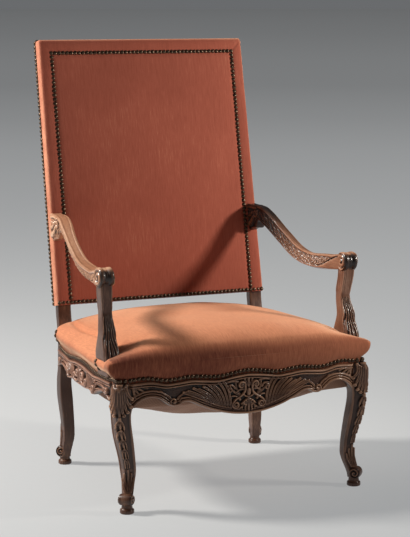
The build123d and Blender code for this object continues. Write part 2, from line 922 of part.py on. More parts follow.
def spring_room():
    """Hollow under the pad, between the rails, that holds the springs and their canvas."""
    y0, y1 = front_shoulder_y, post_block_rear_y - rear_rail_depth - joint_clearance
    x0 = side_arc(side_rail_depth, 0).position_at(0).X
    x1 = side_arc(side_rail_depth, 0).position_at(1).X
    z_high = canvas_z + canvas_thickness + fit_gap
    return prism([(-x0, y0), (x0, y0), (x1, y1), (-x1, y1)], rail_bottom, z_high)


def seat_stuffing(supports):
    pad = seat_crown(cover_thickness + 2 * fit_gap) - spring_room()
    for room in post_rooms() + supports:
        pad -= room
    return one_solid(pad)


def spring_canvas():
    """Canvas on the springs, inside the hollow of the pad."""
    inset = 6.0
    y0, y1 = front_shoulder_y + inset, post_block_front_y - inset
    x0 = side_arc(side_rail_depth, 0).position_at(0).X - inset
    x1 = side_arc(side_rail_depth, 0).position_at(1).X - inset
    return prism([(-x0, y0), (x0, y0), (x1, y1), (-x1, y1)], canvas_z, canvas_z + canvas_thickness)


bowl_front_y = leg_front_y + front_rail_setback + apron_thickness + fit_gap
bowl_rear_y = post_block_rear_y - rear_rail_depth / 2
bowl_front_half = leg_outer_x - side_rail_setback - side_apron_thickness - fit_gap
bowl_rear_half = side_rail_rear_x - side_apron_thickness - fit_gap


def bowl_ring(share, z):
    """Plan of the sagging cloth at a share of its size, about its middle."""
    middle_y = (bowl_front_y + bowl_rear_y) / 2
    y0, y1 = mix(middle_y, bowl_front_y, share), mix(middle_y, bowl_rear_y, share)
    x0, x1 = share * bowl_front_half, share * bowl_rear_half
    return [(-x0, y0, z), (x0, y0, z), (x1, y1, z), (-x1, y1, z)]


def bowl(top_z):
    """Solid under the rails whose lower side sags like a loose cloth."""
    rings = [bowl_ring(share, top_z - cloth_sag * (1 - share**2)) for share in (1, 0.86, 0.66, 0.4, 0.12)]
    faces = [straight_sided(rings[0]).face(), straight_sided(rings[-1]).face()]
    for high, low in zip(rings, rings[1:]):
        for i in range(4):
            j = (i + 1) % 4
            faces.append(straight_sided([high[i], high[j], low[j], low[i]]).face())
    return Solid(Shell(faces))


def leg_rooms():
    """Room for the legs at the corners of the sheets under the seat."""
    far = 2 * leg_outer_x
    front = box_between(
        (front_shoulder_x - fit_gap, -far, 0), (far, front_shoulder_y + fit_gap, rail_bottom)
    )
    rear = box_between((post_inner_x - fit_gap, post_block_front_y - fit_gap, 0), (far, far, rail_bottom))
    return [front, rear, mirrored(front), mirrored(rear)]


web_cross_top = rail_bottom - fit_gap
web_long_top = web_cross_top - web_thickness - fit_gap
cloth_top = web_long_top - web_thickness - fit_gap


def bottom_cloth():
    cloth = bowl(cloth_top) - Pos(0, 0, bottom_cloth_thickness) * bowl(cloth_top)
    for room in leg_rooms():
        cloth -= room
    return one_solid(cloth)


def seat_webbing():
    """Straps from side to side, over straps from front to back, tacked under the rails."""
    straps = []
    half = web_width / 2
    y_first = front_shoulder_y + half + web_edge_gap
    y_last = post_block_front_y - half - web_edge_gap
    for i in range(web_count_deep):
        y = mix(y_first, y_last, i / (web_count_deep - 1))
        t = (y - bowl_front_y) / (bowl_rear_y - bowl_front_y)
        x = mix(bowl_front_half, bowl_rear_half, t) - web_edge_gap
        straps.append(
            box_between((-x, y - half, web_cross_top - web_thickness), (x, y + half, web_cross_top))
        )
    x_last = post_inner_x - half - web_edge_gap
    for i in range(web_count_across):
        x = mix(-x_last, x_last, i / (web_count_across - 1))
        straps.append(
            box_between(
                (x - half, bowl_front_y, web_long_top - web_thickness), (x + half, bowl_rear_y, web_long_top)
            )
        )
    return straps


def seat_springs():
    """Coil springs between the webbing and the canvas."""
    springs = []
    y_middle = (front_shoulder_y + post_block_front_y) / 2
    places = [(0, y_middle)]
    for x_sign in (-1, 1):
        for y_sign in (-1, 1):
            places.append((x_sign * spring_pitch_x / 2, y_middle + y_sign * spring_pitch_y / 2))
    for x, y in places:
        low = web_cross_top + spring_wire / 2 + fit_gap
        height = canvas_z - fit_gap - spring_wire / 2 - low
        sections = []
        for i in range(spring_turns * spring_steps + 1):
            angle = 2 * math.pi * i / spring_steps
            place = Pos(x, y, low + height * i / (spring_turns * spring_steps)) * Rot(Z=math.degrees(angle))
            wire = Plane.XZ * Rectangle(spring_wire, spring_wire)
            sections.append(place * Pos(spring_radius, 0, 0) * wire)
        springs.append(loft(sections, ruled=True))
    return [one_solid(spring) for spring in springs]


# Back upholstery

panel_top_v = back_height - panel_top_margin
panel_half = arm_root_x - arm_width / 2 - nail_to_arm - nail_radius
web_back_w = frame_front_w
web_front_w = web_back_w + back_web_thickness
canvas_back_w = web_front_w + back_web_thickness + fit_gap
canvas_front_w = canvas_back_w + back_canvas_thickness
panel_edge_w = -1.2


def panel_pad(inset, base_w):
    """Crowned panel of the back, built from slices across its width."""
    slices = []
    half = panel_half - fit_gap - inset
    v0, v1 = inset, panel_top_v - fit_gap - inset
    edge_w = panel_edge_w - inset
    for f in (-1, -0.8, -0.45, 0, 0.45, 0.8, 1):
        x = f * half
        rise = panel_crown * (1 - f * f) + fit_gap
        crown = []
        for i in range(panel_steps + 1):
            s = 2 * i / panel_steps - 1
            crown.append((x, mix(v0, v1, i / panel_steps), edge_w + rise * (1 - s * s)))
        slices.append(straight_sided([(x, v1, base_w), (x, v0, base_w)] + crown))
    return back_plane * loft(slices, ruled=True)


def back_panel_cover():
    base = frame_front_w + fit_gap
    inner = panel_pad(cover_thickness, base - cover_thickness)
    return one_solid(panel_pad(0, base) - inner)


def back_stuffing():
    return one_solid(panel_pad(cover_thickness + fit_gap, canvas_front_w + fit_gap))


def back_canvas():
    half = panel_half - cover_thickness - 2 * fit_gap
    low, high = cover_thickness + 2 * fit_gap, panel_top_v - cover_thickness - 2 * fit_gap
    return back_slab([(-half, low), (half, low), (half, high), (-half, high)], canvas_back_w, canvas_front_w)


def back_webbing():
    """Upright straps on the back frame, with straps across them."""
    straps = []
    reach = panel_half - cover_thickness - 2 * fit_gap
    low, high = cover_thickness + 2 * fit_gap, panel_top_v - cover_thickness - 2 * fit_gap
    half = back_web_width / 2
    for i in (-1, 0, 1):
        x = i * (panel_half + back_web_width) / 3
        straps.append(
            back_slab(
                [(x - half, low), (x + half, low), (x + half, high), (x - half, high)], web_back_w, web_front_w
            )
        )
    for i in range(4):
        v = mix(lower_rail_height + back_web_width, panel_top_v - 2 * back_web_width, i / 3)
        straps.append(
            back_slab(
                [(-reach, v - half), (reach, v - half), (reach, v + half), (-reach, v + half)],
                web_front_w,
                web_front_w + back_web_thickness,
            )
        )
    return straps


def arm_notch():
    """Opening in the padded border for the right arm's rear end."""
    v = arm_root_v
    x0 = arm_root_x - arm_width / 2 - fit_gap
    x1 = back_bottom_half + side_pad
    v0, v1 = v - arm_root_height / 2 - side_pad, v + arm_root_height / 2 + side_pad
    return back_slab([(x0, v0), (x1, v0), (x1, v1), (x0, v1)], frame_front_w - fit_gap, border_pad)


def back_border_cover():
    """Padded border round the front, the sides and the top of the back, left open below."""
    outer = back_slab(back_trapezium(0, 0, back_height), border_rear_w, 0)
    core = back_slab(
        back_trapezium(side_pad - fit_gap, -border_pad, frame_top_v + fit_gap),
        border_rear_w - border_pad,
        frame_front_w + fit_gap,
    )
    window = back_slab(
        [
            (-panel_half, -border_pad),
            (panel_half, -border_pad),
            (panel_half, panel_top_v),
            (-panel_half, panel_top_v),
        ],
        frame_front_w,
        border_pad,
    )
    cover = outer - core - window
    for notch in (arm_notch(), mirrored(arm_notch())):
        cover -= notch
    return one_solid(cover)


def outside_back_cover():
    inset = side_pad + fit_gap
    outline = back_trapezium(inset, 0, frame_top_v - fit_gap)
    return back_slab(outline, frame_rear_w - fit_gap - cover_thickness, frame_rear_w - fit_gap)


# Nails


def nail():
    """Domed upholstery nail with a flat back at the origin, its head along +Z."""
    base = RegularPolygon(nail_radius, nail_sides)
    return loft([*base.faces(), Vertex(0, 0, nail_height)])


def nails_on(planes):
    head = nail()
    return [plane.location * head for plane in planes]


def spaced(length):
    """Evenly spaced stations along a length, near the nail pitch."""
    count = max(1, round(length / nail_pitch))
    return [length * i / count for i in range(count + 1)]


def back_nail_planes(start, end, facing, skip_ends=False):
    """Nail seats on a straight row between two points of the back's frame, facing a local direction."""
    length = math.dist(start, end)
    stations = spaced(length)
    if skip_ends:
        stations = stations[1:-1]
    normal = back_point(*facing) - back_point(0, 0, 0)
    planes = []
    for s in stations:
        point = [mix(a, b, s / length) for a, b in zip(start, end)]
        planes.append(Plane(origin=back_point(*point), z_dir=normal))
    return planes


def back_nails():
    lift = fit_gap
    low = nail_edge
    bottom_half = back_half(low, nail_edge)
    rows = {}
    front = []
    for side in (-1, 1):
        column = ((side * panel_half, low, lift), (side * panel_half, panel_top_v, lift))
        front += back_nail_planes(*column, (0, 0, 1))[1:]
    top = ((-panel_half, panel_top_v, lift), (panel_half, panel_top_v, lift))
    front += back_nail_planes(*top, (0, 0, 1), skip_ends=True)
    rows["back_nails_front"] = front
    bottom = ((-bottom_half, low, lift), (bottom_half, low, lift))
    rows["back_nails_bottom"] = back_nail_planes(*bottom, (0, 0, 1))
    depth = border_rear_w + nail_edge
    lean = (back_bottom_half - back_top_half) / back_height
    for side, name in ((1, "right"), (-1, "left")):
        ends = [
            (side * (back_half(v) + lift), v, depth) for v in (nail_edge, back_height - nail_edge)
        ]
        rows[f"back_nails_{name}"] = back_nail_planes(*ends, (side, lean, 0))
    top_v = back_height + lift
    half = back_half(back_height, nail_edge)
    rows["back_nails_top"] = back_nail_planes((-half, top_v, depth), (half, top_v, depth), (0, 1, 0))
    return rows


def seat_nails():
    """Nails along the lower edge of the seat cover, by side."""
    rows = {}
    rise = nail_radius + 1.0
    lip = front_lip_outline(0).edges().sort_by(Axis.Z)[-1]
    front = []
    for s in spaced(lip.length - 2 * nail_radius):
        point = lip.position_at(s + nail_radius, position_mode=PositionMode.LENGTH)
        y = front_face_y(point.X, belt_shift) - fit_gap
        slope = (front_face_y(point.X + 1) - front_face_y(point.X - 1)) / 2
        front.append(Plane(origin=(point.X, y, point.Z + rise), z_dir=(slope, -1, 0)))
    corner_x = leg_outer_x - side_rail_setback - belt_shift
    corner_y = leg_front_y + front_rail_setback + belt_shift
    z = leg_block_top + rise
    for side in (-1, 1):
        for s in spaced(corner_x - front_shoulder_x - 2 * nail_radius):
            x = front_shoulder_x + nail_radius + s
            front.append(Plane(origin=(side * x, corner_y - fit_gap, z), z_dir=(0, -1, 0)))
    rows["seat_nails_front"] = front
    right = []
    for s in spaced(front_shoulder_y - corner_y - 2 * nail_radius):
        right.append(Plane(origin=(corner_x + fit_gap, corner_y + nail_radius + s, z), z_dir=(1, 0, 0)))
    lip = side_lip_outline(0).edges().sort_by(Axis.Z)[-1]
    face = side_arc(belt_shift, 0)
    for s in spaced(lip.length - 2 * nail_radius):
        point = lip.position_at(s + nail_radius, position_mode=PositionMode.LENGTH)
        t = (point.Y - front_shoulder_y) / (post_block_front_y - front_shoulder_y)
        place = face.position_at(t)
        along = face.tangent_at(t)
        right.append(
            Plane(origin=(place.X + fit_gap, place.Y, point.Z + rise), z_dir=(along.Y, -along.X, 0))
        )
    rows["seat_nails_right"] = right
    return rows


# Assembly


def build():
    nodes = {}

    def pair(name, shape):
        nodes[f"{name}_right"] = shape
        nodes[f"{name}_left"] = mirrored(shape)

    leg = front_leg_blank() - front_tenon(1, joint_clearance) - side_tenon_front(joint_clearance)
    leg -= front_peg(joint_clearance)
    leg -= side_peg(joint_clearance)
    leg = one_solid(leg)
    pair("front_leg", leg)

    post = rear_post_blank() - side_tenon_rear(joint_clearance) - rear_tenon(1, joint_clearance)
    for span in (crest_span, lower_span):
        post -= back_tenon(1, *span, joint_clearance)
    post -= arm_tenon(joint_clearance)
    pair("rear_post", one_solid(post))

    front = one_solid(front_rail())
    side = one_solid(side_rail())
    nodes["front_rail"] = front
    pair("side_rail", side)
    nodes["rear_rail"] = one_solid(rear_rail())
    nodes["crest_rail"] = one_solid(back_rail(crest_span))
    nodes["back_lower_rail"] = one_solid(back_rail(lower_span))

    right_arm = one_solid(arm())
    pair("arm", right_arm)
    pair("arm_support", one_solid(arm_support(right_arm)))

    inner = side_arc(side_rail_depth, rail_top)
    reach = corner_block_leg / (post_block_front_y - front_shoulder_y)
    front_at, rear_at = inner.position_at(0), inner.position_at(1)
    near, far = inner.position_at(reach), inner.position_at(1 - reach)
    blocks = []
    for corner, side_point, y_sign in ((front_at, near, 1), (rear_at, far, -1)):
        x, y = corner.X - fit_gap, corner.Y + y_sign * fit_gap
        plan = [(x, y), (x - corner_block_leg, y), (side_point.X - fit_gap, side_point.Y)]
        blocks.append(prism(plan, rail_top - corner_block_height, rail_top))
    nodes["corner_blocks"] = group(blocks + [mirrored(block) for block in blocks])
    pegs = [front_peg(0.0), side_peg(0.0)]
    nodes["frame_pegs"] = group(pegs + [mirrored(peg) for peg in pegs])

    room = arm_support_blank(fit_gap)
    rooms = [room, mirrored(room)]
    frame = [front, side, mirrored(side), leg, mirrored(leg), nodes["rear_rail"]]
    nodes["seat_cover"] = seat_cover(frame, rooms)
    nodes["seat_stuffing"] = seat_stuffing(rooms)
    nodes["spring_canvas"] = spring_canvas()
    nodes["seat_springs"] = group(seat_springs())
    nodes["seat_webbing"] = group(seat_webbing())
    nodes["bottom_cloth"] = bottom_cloth()

    nodes["back_webbing"] = group(back_webbing())
    nodes["back_canvas"] = back_canvas()
    nodes["back_stuffing"] = back_stuffing()
    nodes["back_panel_cover"] = back_panel_cover()
    nodes["back_border_cover"] = back_border_cover()
    nodes["outside_back_cover"] = outside_back_cover()

    for name, planes in back_nails().items():
        nodes[name] = group(nails_on(planes))
    for name, planes in seat_nails().items():
        nodes[name] = group(nails_on(planes))
    nodes["seat_nails_left"] = mirrored(nodes["seat_nails_right"])
    return nodes


def export(nodes):
    os.makedirs("parts", exist_ok=True)
    boxes = [shape.bounding_box() for shape in nodes.values()]
    centre_x = (min(b.min.X for b in boxes) + max(b.max.X for b in boxes)) / 2
    centre_y = (min(b.min.Y for b in boxes) + max(b.max.Y for b in boxes)) / 2
    shift = Pos(-centre_x, -centre_y, -min(b.min.Z for b in boxes))
    for name, shape in nodes.items():
        export_step(shift * shape, f"parts/{name}.step")


if __name__ == "__main__":
    export(build())
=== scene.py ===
"""Scene of the high-backed open armchair: carved and stained frame, velvet covers and domed nails.

Shapes are written in millimetres about the middle of the four feet, as in the part's source: X across, Y from
front to back, Z up. They are moved and scaled into the frame when a mesh is made.
"""

import math

import bmesh
import bpy
import numpy as np
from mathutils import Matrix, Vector


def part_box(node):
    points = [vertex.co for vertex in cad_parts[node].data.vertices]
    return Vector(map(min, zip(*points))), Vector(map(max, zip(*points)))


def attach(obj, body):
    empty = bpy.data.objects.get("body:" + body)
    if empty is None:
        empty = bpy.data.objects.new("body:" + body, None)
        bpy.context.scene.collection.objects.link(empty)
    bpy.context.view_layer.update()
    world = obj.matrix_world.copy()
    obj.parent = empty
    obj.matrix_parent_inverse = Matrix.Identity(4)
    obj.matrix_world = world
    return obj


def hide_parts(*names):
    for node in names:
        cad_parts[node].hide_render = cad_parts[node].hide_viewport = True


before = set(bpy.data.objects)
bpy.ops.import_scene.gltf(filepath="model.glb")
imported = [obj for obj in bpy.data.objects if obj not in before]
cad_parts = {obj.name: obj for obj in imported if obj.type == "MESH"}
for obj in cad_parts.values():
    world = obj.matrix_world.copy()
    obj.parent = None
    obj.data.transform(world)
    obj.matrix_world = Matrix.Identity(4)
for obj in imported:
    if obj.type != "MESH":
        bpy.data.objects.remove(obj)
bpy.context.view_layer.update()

# Sizes shared with the part's source
rear_rail_back = 271.8
front_end_x, front_end_y, front_bow = 310.0, -276.0, 20.0
front_face_radius = (front_end_x**2 + front_bow**2) / (2 * front_bow)
apron_thickness = 24.0
rail_start_y, rail_end_y = -230.0, 243.0
rail_span = rail_end_y - rail_start_y
side_front_x, side_rear_x, side_bow = 354.0, 318.0, 7.0
side_thickness = 18.0
belt_shift = 5.2
seat_front_half, seat_rear_half = 376.0, 326.0
seat_front_y, seat_rear_y = -280.0, 268.0
rake = math.radians(11.4)
back_bottom_y, back_bottom_z, back_height = 256.0, 449.0, 735.0
back_bottom_half, back_top_half = 314.5, 309.0
panel_half, panel_top = 275.0, 697.0
border_rear = -36.5
nail_pitch, nail_rise = 11.7, 6.5
depth_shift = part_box("rear_rail")[1].y * 1000 - rear_rail_back

# Curves and relief


def clamp(t):
    return np.clip(t, 0, 1)


def smooth(t):
    t = clamp(t)
    return t * t * (3 - 2 * t)


def mix(a, b, t):
    return a + (b - a) * t


def hump(x, width):
    """Bell curve of height 1 about 0."""
    return np.exp(-((x / width) ** 2))


def circle(count):
    """Angles of even steps round a circle."""
    return np.linspace(0, 2 * math.pi, count, endpoint=False)


def way_along(path):
    """Length of a path from its start to each of its points."""
    return np.concatenate([[0], np.cumsum(np.linalg.norm(np.diff(path, axis=0), axis=1))])


def through(points, count):
    """Smooth line through points, in even steps from each point to the next."""
    p = np.asarray(points, float)
    p = np.concatenate([[2 * p[0] - p[1]], p, [2 * p[-1] - p[-2]]])
    s = np.linspace(0, len(p) - 3, count)
    i = np.minimum(s.astype(int), len(p) - 4)
    t = (s - i).reshape(-1, *([1] * (p.ndim - 1)))
    a, b, c, d = p[i], p[i + 1], p[i + 2], p[i + 3]
    return 0.5 * (2 * b + (c - a) * t + (2 * a - 5 * b + 4 * c - d) * t**2 + (3 * b - a - 3 * c + d) * t**3)


def profile(points):
    """Height as a smooth function of distance, from points in order of distance."""
    line = through(points, 400)
    return lambda at: np.interp(at, line[:, 0], line[:, 1])


def table(stations, at):
    """Rows of sizes read smoothly from a table whose first column is the place."""
    rows = np.asarray(stations, float)
    i = np.clip(np.searchsorted(rows[:, 0], at) - 1, 0, len(rows) - 2)
    t = smooth((at - rows[i, 0]) / (rows[i + 1, 0] - rows[i, 0]))
    return mix(rows[i, 1:], rows[i + 1, 1:], t[:, None])


def ripple(a, b, size, seed):
    """Repeatable unevenness between about -1 and 1, with features of about the given size."""
    rng = np.random.default_rng(seed)
    total = np.zeros(np.broadcast(a, b).shape)
    for _ in range(7):
        turn, phase = rng.uniform(0, 2 * math.pi, 2)
        pace = 2 * math.pi / size * rng.uniform(0.6, 1.4)
        total += np.sin(pace * (a * math.cos(turn) + b * math.sin(turn)) + phase)
    return total / 3.5


def bend(start, middle, end, count=9):
    """Curved stroke from start to end, pulled towards the middle point."""
    t = np.linspace(0, 1, count)[:, None]
    start, middle, end = (np.asarray(p, float) for p in (start, middle, end))
    return (1 - t) ** 2 * start + 2 * t * (1 - t) * middle + t**2 * end


def volute(centre, outer, inner, turns, start, hand):
    """Spiral stroke from its outer end at an angle in degrees to its eye."""
    t = np.linspace(0, 1, int(16 * turns) + 1)
    angle = math.radians(start) + hand * 2 * math.pi * turns * t
    radius = mix(outer, inner, t**0.8)
    return np.stack([centre[0] + radius * np.cos(angle), centre[1] + radius * np.sin(angle)], -1)


def stroke(path, start_width, end_width, height, groove=0.0):
    """One carved ridge: its path, its half width at both ends, its height and its depth of groove."""
    return np.asarray(path, float), start_width, end_width, height, groove


def blade(start, middle, end, *sizes):
    """Stroke along a bend, with sizes as for a stroke."""
    return stroke(bend(start, middle, end), *sizes)


def curl(centre, outer, inner, turns, start, hand, *sizes):
    """Stroke along a spiral, with sizes as for a stroke."""
    return stroke(volute(centre, outer, inner, turns, start, hand), *sizes)


def carve(a, b, strokes):
    """Height of the carving at places (a, b): the highest stroke that covers each place."""
    height = np.zeros(a.shape)
    for path, start_width, end_width, rise, groove in strokes:
        reach = max(start_width, end_width)
        low, high = path.min(0) - reach, path.max(0) + reach
        near = (a > low[0]) & (a < high[0]) & (b > low[1]) & (b < high[1])
        if not near.any():
            continue
        pa, pb = a[near], b[near]
        lengths = np.hypot(*np.diff(path, axis=0).T)
        total = lengths.sum()
        best = np.full(pa.shape, 1e9)
        place = np.zeros(pa.shape)
        passed = 0.0
        for (a0, b0), (a1, b1), length in zip(path, path[1:], lengths):
            t = ((pa - a0) * (a1 - a0) + (pb - b0) * (b1 - b0)) / max(length**2, 1e-9)
            t = clamp(t)
            gap = np.hypot(pa - mix(a0, a1, t), pb - mix(b0, b1, t))
            closer = gap < best
            best[closer] = gap[closer]
            place[closer] = (passed + t[closer] * length) / total
            passed += length
        r = clamp(best / mix(start_width, end_width, place))
        swell = rise * np.sqrt(1 - r * r) * (1 - groove * hump(r, 0.28))
        height[near] = np.maximum(height[near], swell)
    return height


def bead(distance, centre, half_width, rise):
    """Raised round moulding at a distance from an edge."""
    r = np.clip((distance - centre) / half_width, -1, 1)
    return rise * np.sqrt(1 - r * r)


def wear_and_painted_light(height, reach, gain=0.13):
    """Tone from 0 in hollows to 1 on ridges, from each height against its surroundings: dark hollows are
    partly dirt and partly painted shade, pale ridges partly wearing by use and partly painted highlight.
    """
    soft = height
    for axis in (0, 1):
        soft = sum(np.roll(soft, k, axis) for k in range(-reach, reach + 1)) / (2 * reach + 1)
    return clamp(0.5 + gain * (height - soft))


def rounded(count, power):
    """Unit square with rounded corners, as points round it and their outward directions."""
    angle = circle(count) + math.pi / count
    c, s = np.cos(angle), np.sin(angle)
    radius = (np.abs(c) ** power + np.abs(s) ** power) ** (-1 / power)
    section = np.stack([radius * c, radius * s], -1)
    out = np.sign(section) * np.abs(section) ** (power - 1)
    return section, out / np.linalg.norm(out, axis=1, keepdims=True)


def from_arris(section, size):
    """Distance of each place round a tube from the nearest arris."""
    gaps = (1 - np.abs(section))[None] * size[:, None] / 2
    return np.hypot(gaps[..., 0], gaps[..., 1])


def upright(centre, place, out, height, heights):
    """Points of an upright tube: its section about a centre line, raised by its carving."""
    flat = centre[:, None] + place + out[None] * height[..., None]
    return np.concatenate([flat, heights[..., None]], -1)


def mirrored(line):
    """Line in x and another value, followed by its mirror image on the way back."""
    return np.concatenate([line, line[::-1] * (-1, 1)])


# Meshes


class Shape:
    """Points, faces and relief values of one piece, gathered grid by grid."""

    def __init__(self):
        self.points, self.faces, self.relief = [], [], []
        self.count = 0

    def grid(self, points, relief=None, wrap=False, caps=False):
        """Add a grid of faces, which may be joined up across its columns and closed at both ends."""
        rows, cols = points.shape[:2]
        r = np.arange(rows - 1)[:, None]
        c = np.arange(cols if wrap else cols - 1)[None, :]
        near, far = r * cols + c, r * cols + (c + 1) % cols
        quads = np.stack([near, far, far + cols, near + cols], -1).reshape(-1, 4) + self.count
        self.faces += quads.tolist()
        if caps:
            self.faces.append((np.arange(cols) + self.count).tolist())
            self.faces.append((np.arange(cols)[::-1] + self.count + (rows - 1) * cols).tolist())
        self.points.append(points.reshape(-1, 3))
        relief = np.full((rows, cols), 0.5) if relief is None else relief
        self.relief.append(np.broadcast_to(relief, (rows, cols)).reshape(-1))
        self.count += rows * cols
        return self


def add_object(name, data):
    item = bpy.data.objects.new(name, data)
    bpy.context.scene.collection.objects.link(item)
    return item


def add_piece(name, shape, material, replaced=(), mirror=False):
    points = np.concatenate(shape.points)
    if mirror:
        points = points * (-1, 1, 1)
    mesh = bpy.data.meshes.new(name)
    mesh.from_pydata(((points + (0, depth_shift, 0)) / 1000).tolist(), [], shape.faces)
    # The relief attribute carries each point's tone from use, with painted light and shade, to the materials
    layer = mesh.attributes.new("relief", "FLOAT", "POINT")
    layer.data.foreach_set("value", np.concatenate(shape.relief).astype(np.float32))
    work = bmesh.new()
    work.from_mesh(mesh)
    bmesh.ops.recalc_face_normals(work, faces=work.faces)
    work.to_mesh(mesh)
    work.free()
    mesh.shade_smooth()
    mesh.materials.append(material)
    piece = add_object(name, mesh)
    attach(piece, "root")
    if replaced:
        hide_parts(*replaced)
    return piece


def add_pair(name, shape, material):
    """Carved right piece and its mirror image on the left, in place of the two nodes of that name."""
    pair = []
    for side in ("right", "left"):
        label = f"{name}_{side}"
        pair.append(add_piece(f"{label}_carved", shape, material, [label], side == "left"))
    return pair


def shift_painted_light(piece, axis, start, length, share):
    """Add painted light to the far end of a piece along an axis, or painted shade with a negative share.
    Places are in metres.
    """
    wear_and_light_tone = piece.data.attributes["relief"].data
    places, values = np.empty(3 * len(wear_and_light_tone)), np.empty(len(wear_and_light_tone))
    piece.data.vertices.foreach_get("co", places)
    wear_and_light_tone.foreach_get("value", values)
    wear_and_light_tone.foreach_set("value", clamp(values + share * smooth((places[axis::3] - start) / length)))


# Materials


class Nodes:
    """Short hand for the nodes of one material."""

    def __init__(self, name):
        self.material = bpy.data.materials.new(name)
        self.material.use_nodes = True
        self.tree = self.material.node_tree
        self.shader = self.tree.nodes["Principled BSDF"]
        self.place = self.add("ShaderNodeTexCoord").outputs["Object"]

    def add(self, kind, links=None, **values):
        node = self.tree.nodes.new(kind)
        for key, value in values.items():
            setattr(node, key, value)
        for key, value in (links or {}).items():
            self.set(node.inputs[key], value)
        return node

    def set(self, socket, value):
        if isinstance(value, bpy.types.NodeSocket):
            self.tree.links.new(value, socket)
        else:
            socket.default_value = value

    def stretched(self, scale):
        return self.add("ShaderNodeMapping", {"Vector": self.place, "Scale": scale}).outputs["Vector"]

    def noise(self, where, scale, detail=3.0, roughness=0.55):
        links = {"Vector": where, "Scale": scale, "Detail": detail, "Roughness": roughness}
        return self.add("ShaderNodeTexNoise", links).outputs["Fac"]

    def ramp(self, factor, stops):
        node = self.add("ShaderNodeValToRGB", {"Fac": factor})
        points = node.color_ramp.elements
        while len(points) < len(stops):
            points.new(0.5)
        for point, (position, colour) in zip(points, stops):
            point.position = position
            point.color = (*colour, 1)
        return node.outputs["Color"]

    def blend(self, kind, amount, first, second):
        links = {"Factor": amount, "A": first, "B": second}
        return self.add("ShaderNodeMix", links, data_type="RGBA", blend_type=kind).outputs["Result"]

    def maths(self, kind, *values):
        return self.add("ShaderNodeMath", dict(enumerate(values)), operation=kind).outputs["Value"]

    def span(self, value, low, high):
        links = {"Value": value, "To Min": low, "To Max": high}
        return self.add("ShaderNodeMapRange", links).outputs["Result"]

    def bump(self, height, strength, distance):
        links = {"Height": height, "Strength": strength, "Distance": distance}
        self.set(self.shader.inputs["Normal"], self.add("ShaderNodeBump", links).outputs["Normal"])

    def finish(self, **sockets):
        for key, value in sockets.items():
            self.set(self.shader.inputs[key.replace("_", " ")], value)
        return self.material


def wood_material(name, dark, middle, light, grain_scale, gloss=0.2, carved=True):
    """Stained wood with grain along its length, darker in the carved ground and paler on the ridges after its
    relief attribute: marks of use and dirt, with painted shade and highlight.
    """
    nodes = Nodes(name)
    if carved:
        relief = nodes.add("ShaderNodeAttribute", attribute_name="relief").outputs["Fac"]
    else:
        relief = nodes.maths("MULTIPLY_ADD", nodes.noise(nodes.stretched((3, 45, 45)), 1.0, 3.0), 0.3, 0.3)
    grain = nodes.noise(nodes.stretched(grain_scale), 1.0, 6.0, 0.6)
    patches = nodes.noise(nodes.place, 14.0, 3.0)
    # The tone follows the relief attribute, which brings in the marks of use and the painted light of the
    # pieces
    wear_and_light_tone = nodes.maths("MULTIPLY_ADD", grain, 0.4, nodes.maths("MULTIPLY", relief, 0.95))
    wear_and_light_tone = nodes.maths("MULTIPLY_ADD", patches, 0.35, nodes.maths("SUBTRACT", wear_and_light_tone, 0.38))
    colour = nodes.ramp(wear_and_light_tone, [(0.05, dark), (0.45, middle), (0.95, light)])
    stipple = nodes.noise(nodes.place, 480.0, 2.0)
    height = nodes.maths("MULTIPLY_ADD", grain, 0.5, nodes.maths("MULTIPLY", stipple, 0.6))
    nodes.bump(height, 0.4, 0.001)
    rough = nodes.span(nodes.maths("ADD", patches, nodes.maths("MULTIPLY", relief, -0.35)), 0.28, 0.6)
    return nodes.finish(
        Base_Color=colour,
        Roughness=rough,
        Specular_IOR_Level=0.35,
        Coat_Weight=gloss,
        Coat_Roughness=0.16,
    )


def velvet_material(name, stripe_scale, deep, middle, pale, sheen):
    """Cotton velvet with a streaked nap along one direction, paler where its relief attribute is high: partly
    pile thinned by use, partly painted light.
    """
    nodes = Nodes(name)
    streak = nodes.noise(nodes.stretched(stripe_scale), 1.0, 4.0, 0.65)
    cloud = nodes.noise(nodes.place, 5.5, 4.0, 0.6)
    pile = nodes.noise(nodes.place, 1500.0, 2.0)
    rub_and_painted_light = nodes.add("ShaderNodeAttribute", attribute_name="relief").outputs["Fac"]
    nap = nodes.maths("MULTIPLY_ADD", streak, 0.6, nodes.maths("MULTIPLY", cloud, 0.35))
    # Paler with the relief attribute: pile thinned by use and painted light
    nap = nodes.maths("ADD", nap, nodes.maths("MULTIPLY_ADD", rub_and_painted_light, 0.6, -0.25))
    colour = nodes.ramp(nap, [(0.15, deep), (0.6, middle), (0.95, pale)])
    fibres = nodes.ramp(pile, [(0.3, (0.55,) * 3), (0.7, (1.0,) * 3)])
    colour = nodes.blend("MULTIPLY", 0.35, colour, fibres)
    height = nodes.maths("MULTIPLY_ADD", streak, 0.5, pile)
    nodes.bump(height, 0.22, 0.0006)
    return nodes.finish(
        Base_Color=colour,
        Roughness=nodes.span(cloud, 0.75, 0.95),
        Sheen_Weight=sheen,
        Sheen_Roughness=0.38,
        Sheen_Tint=(1.0, 0.68, 0.46, 1),
        Specular_IOR_Level=0.15,
    )


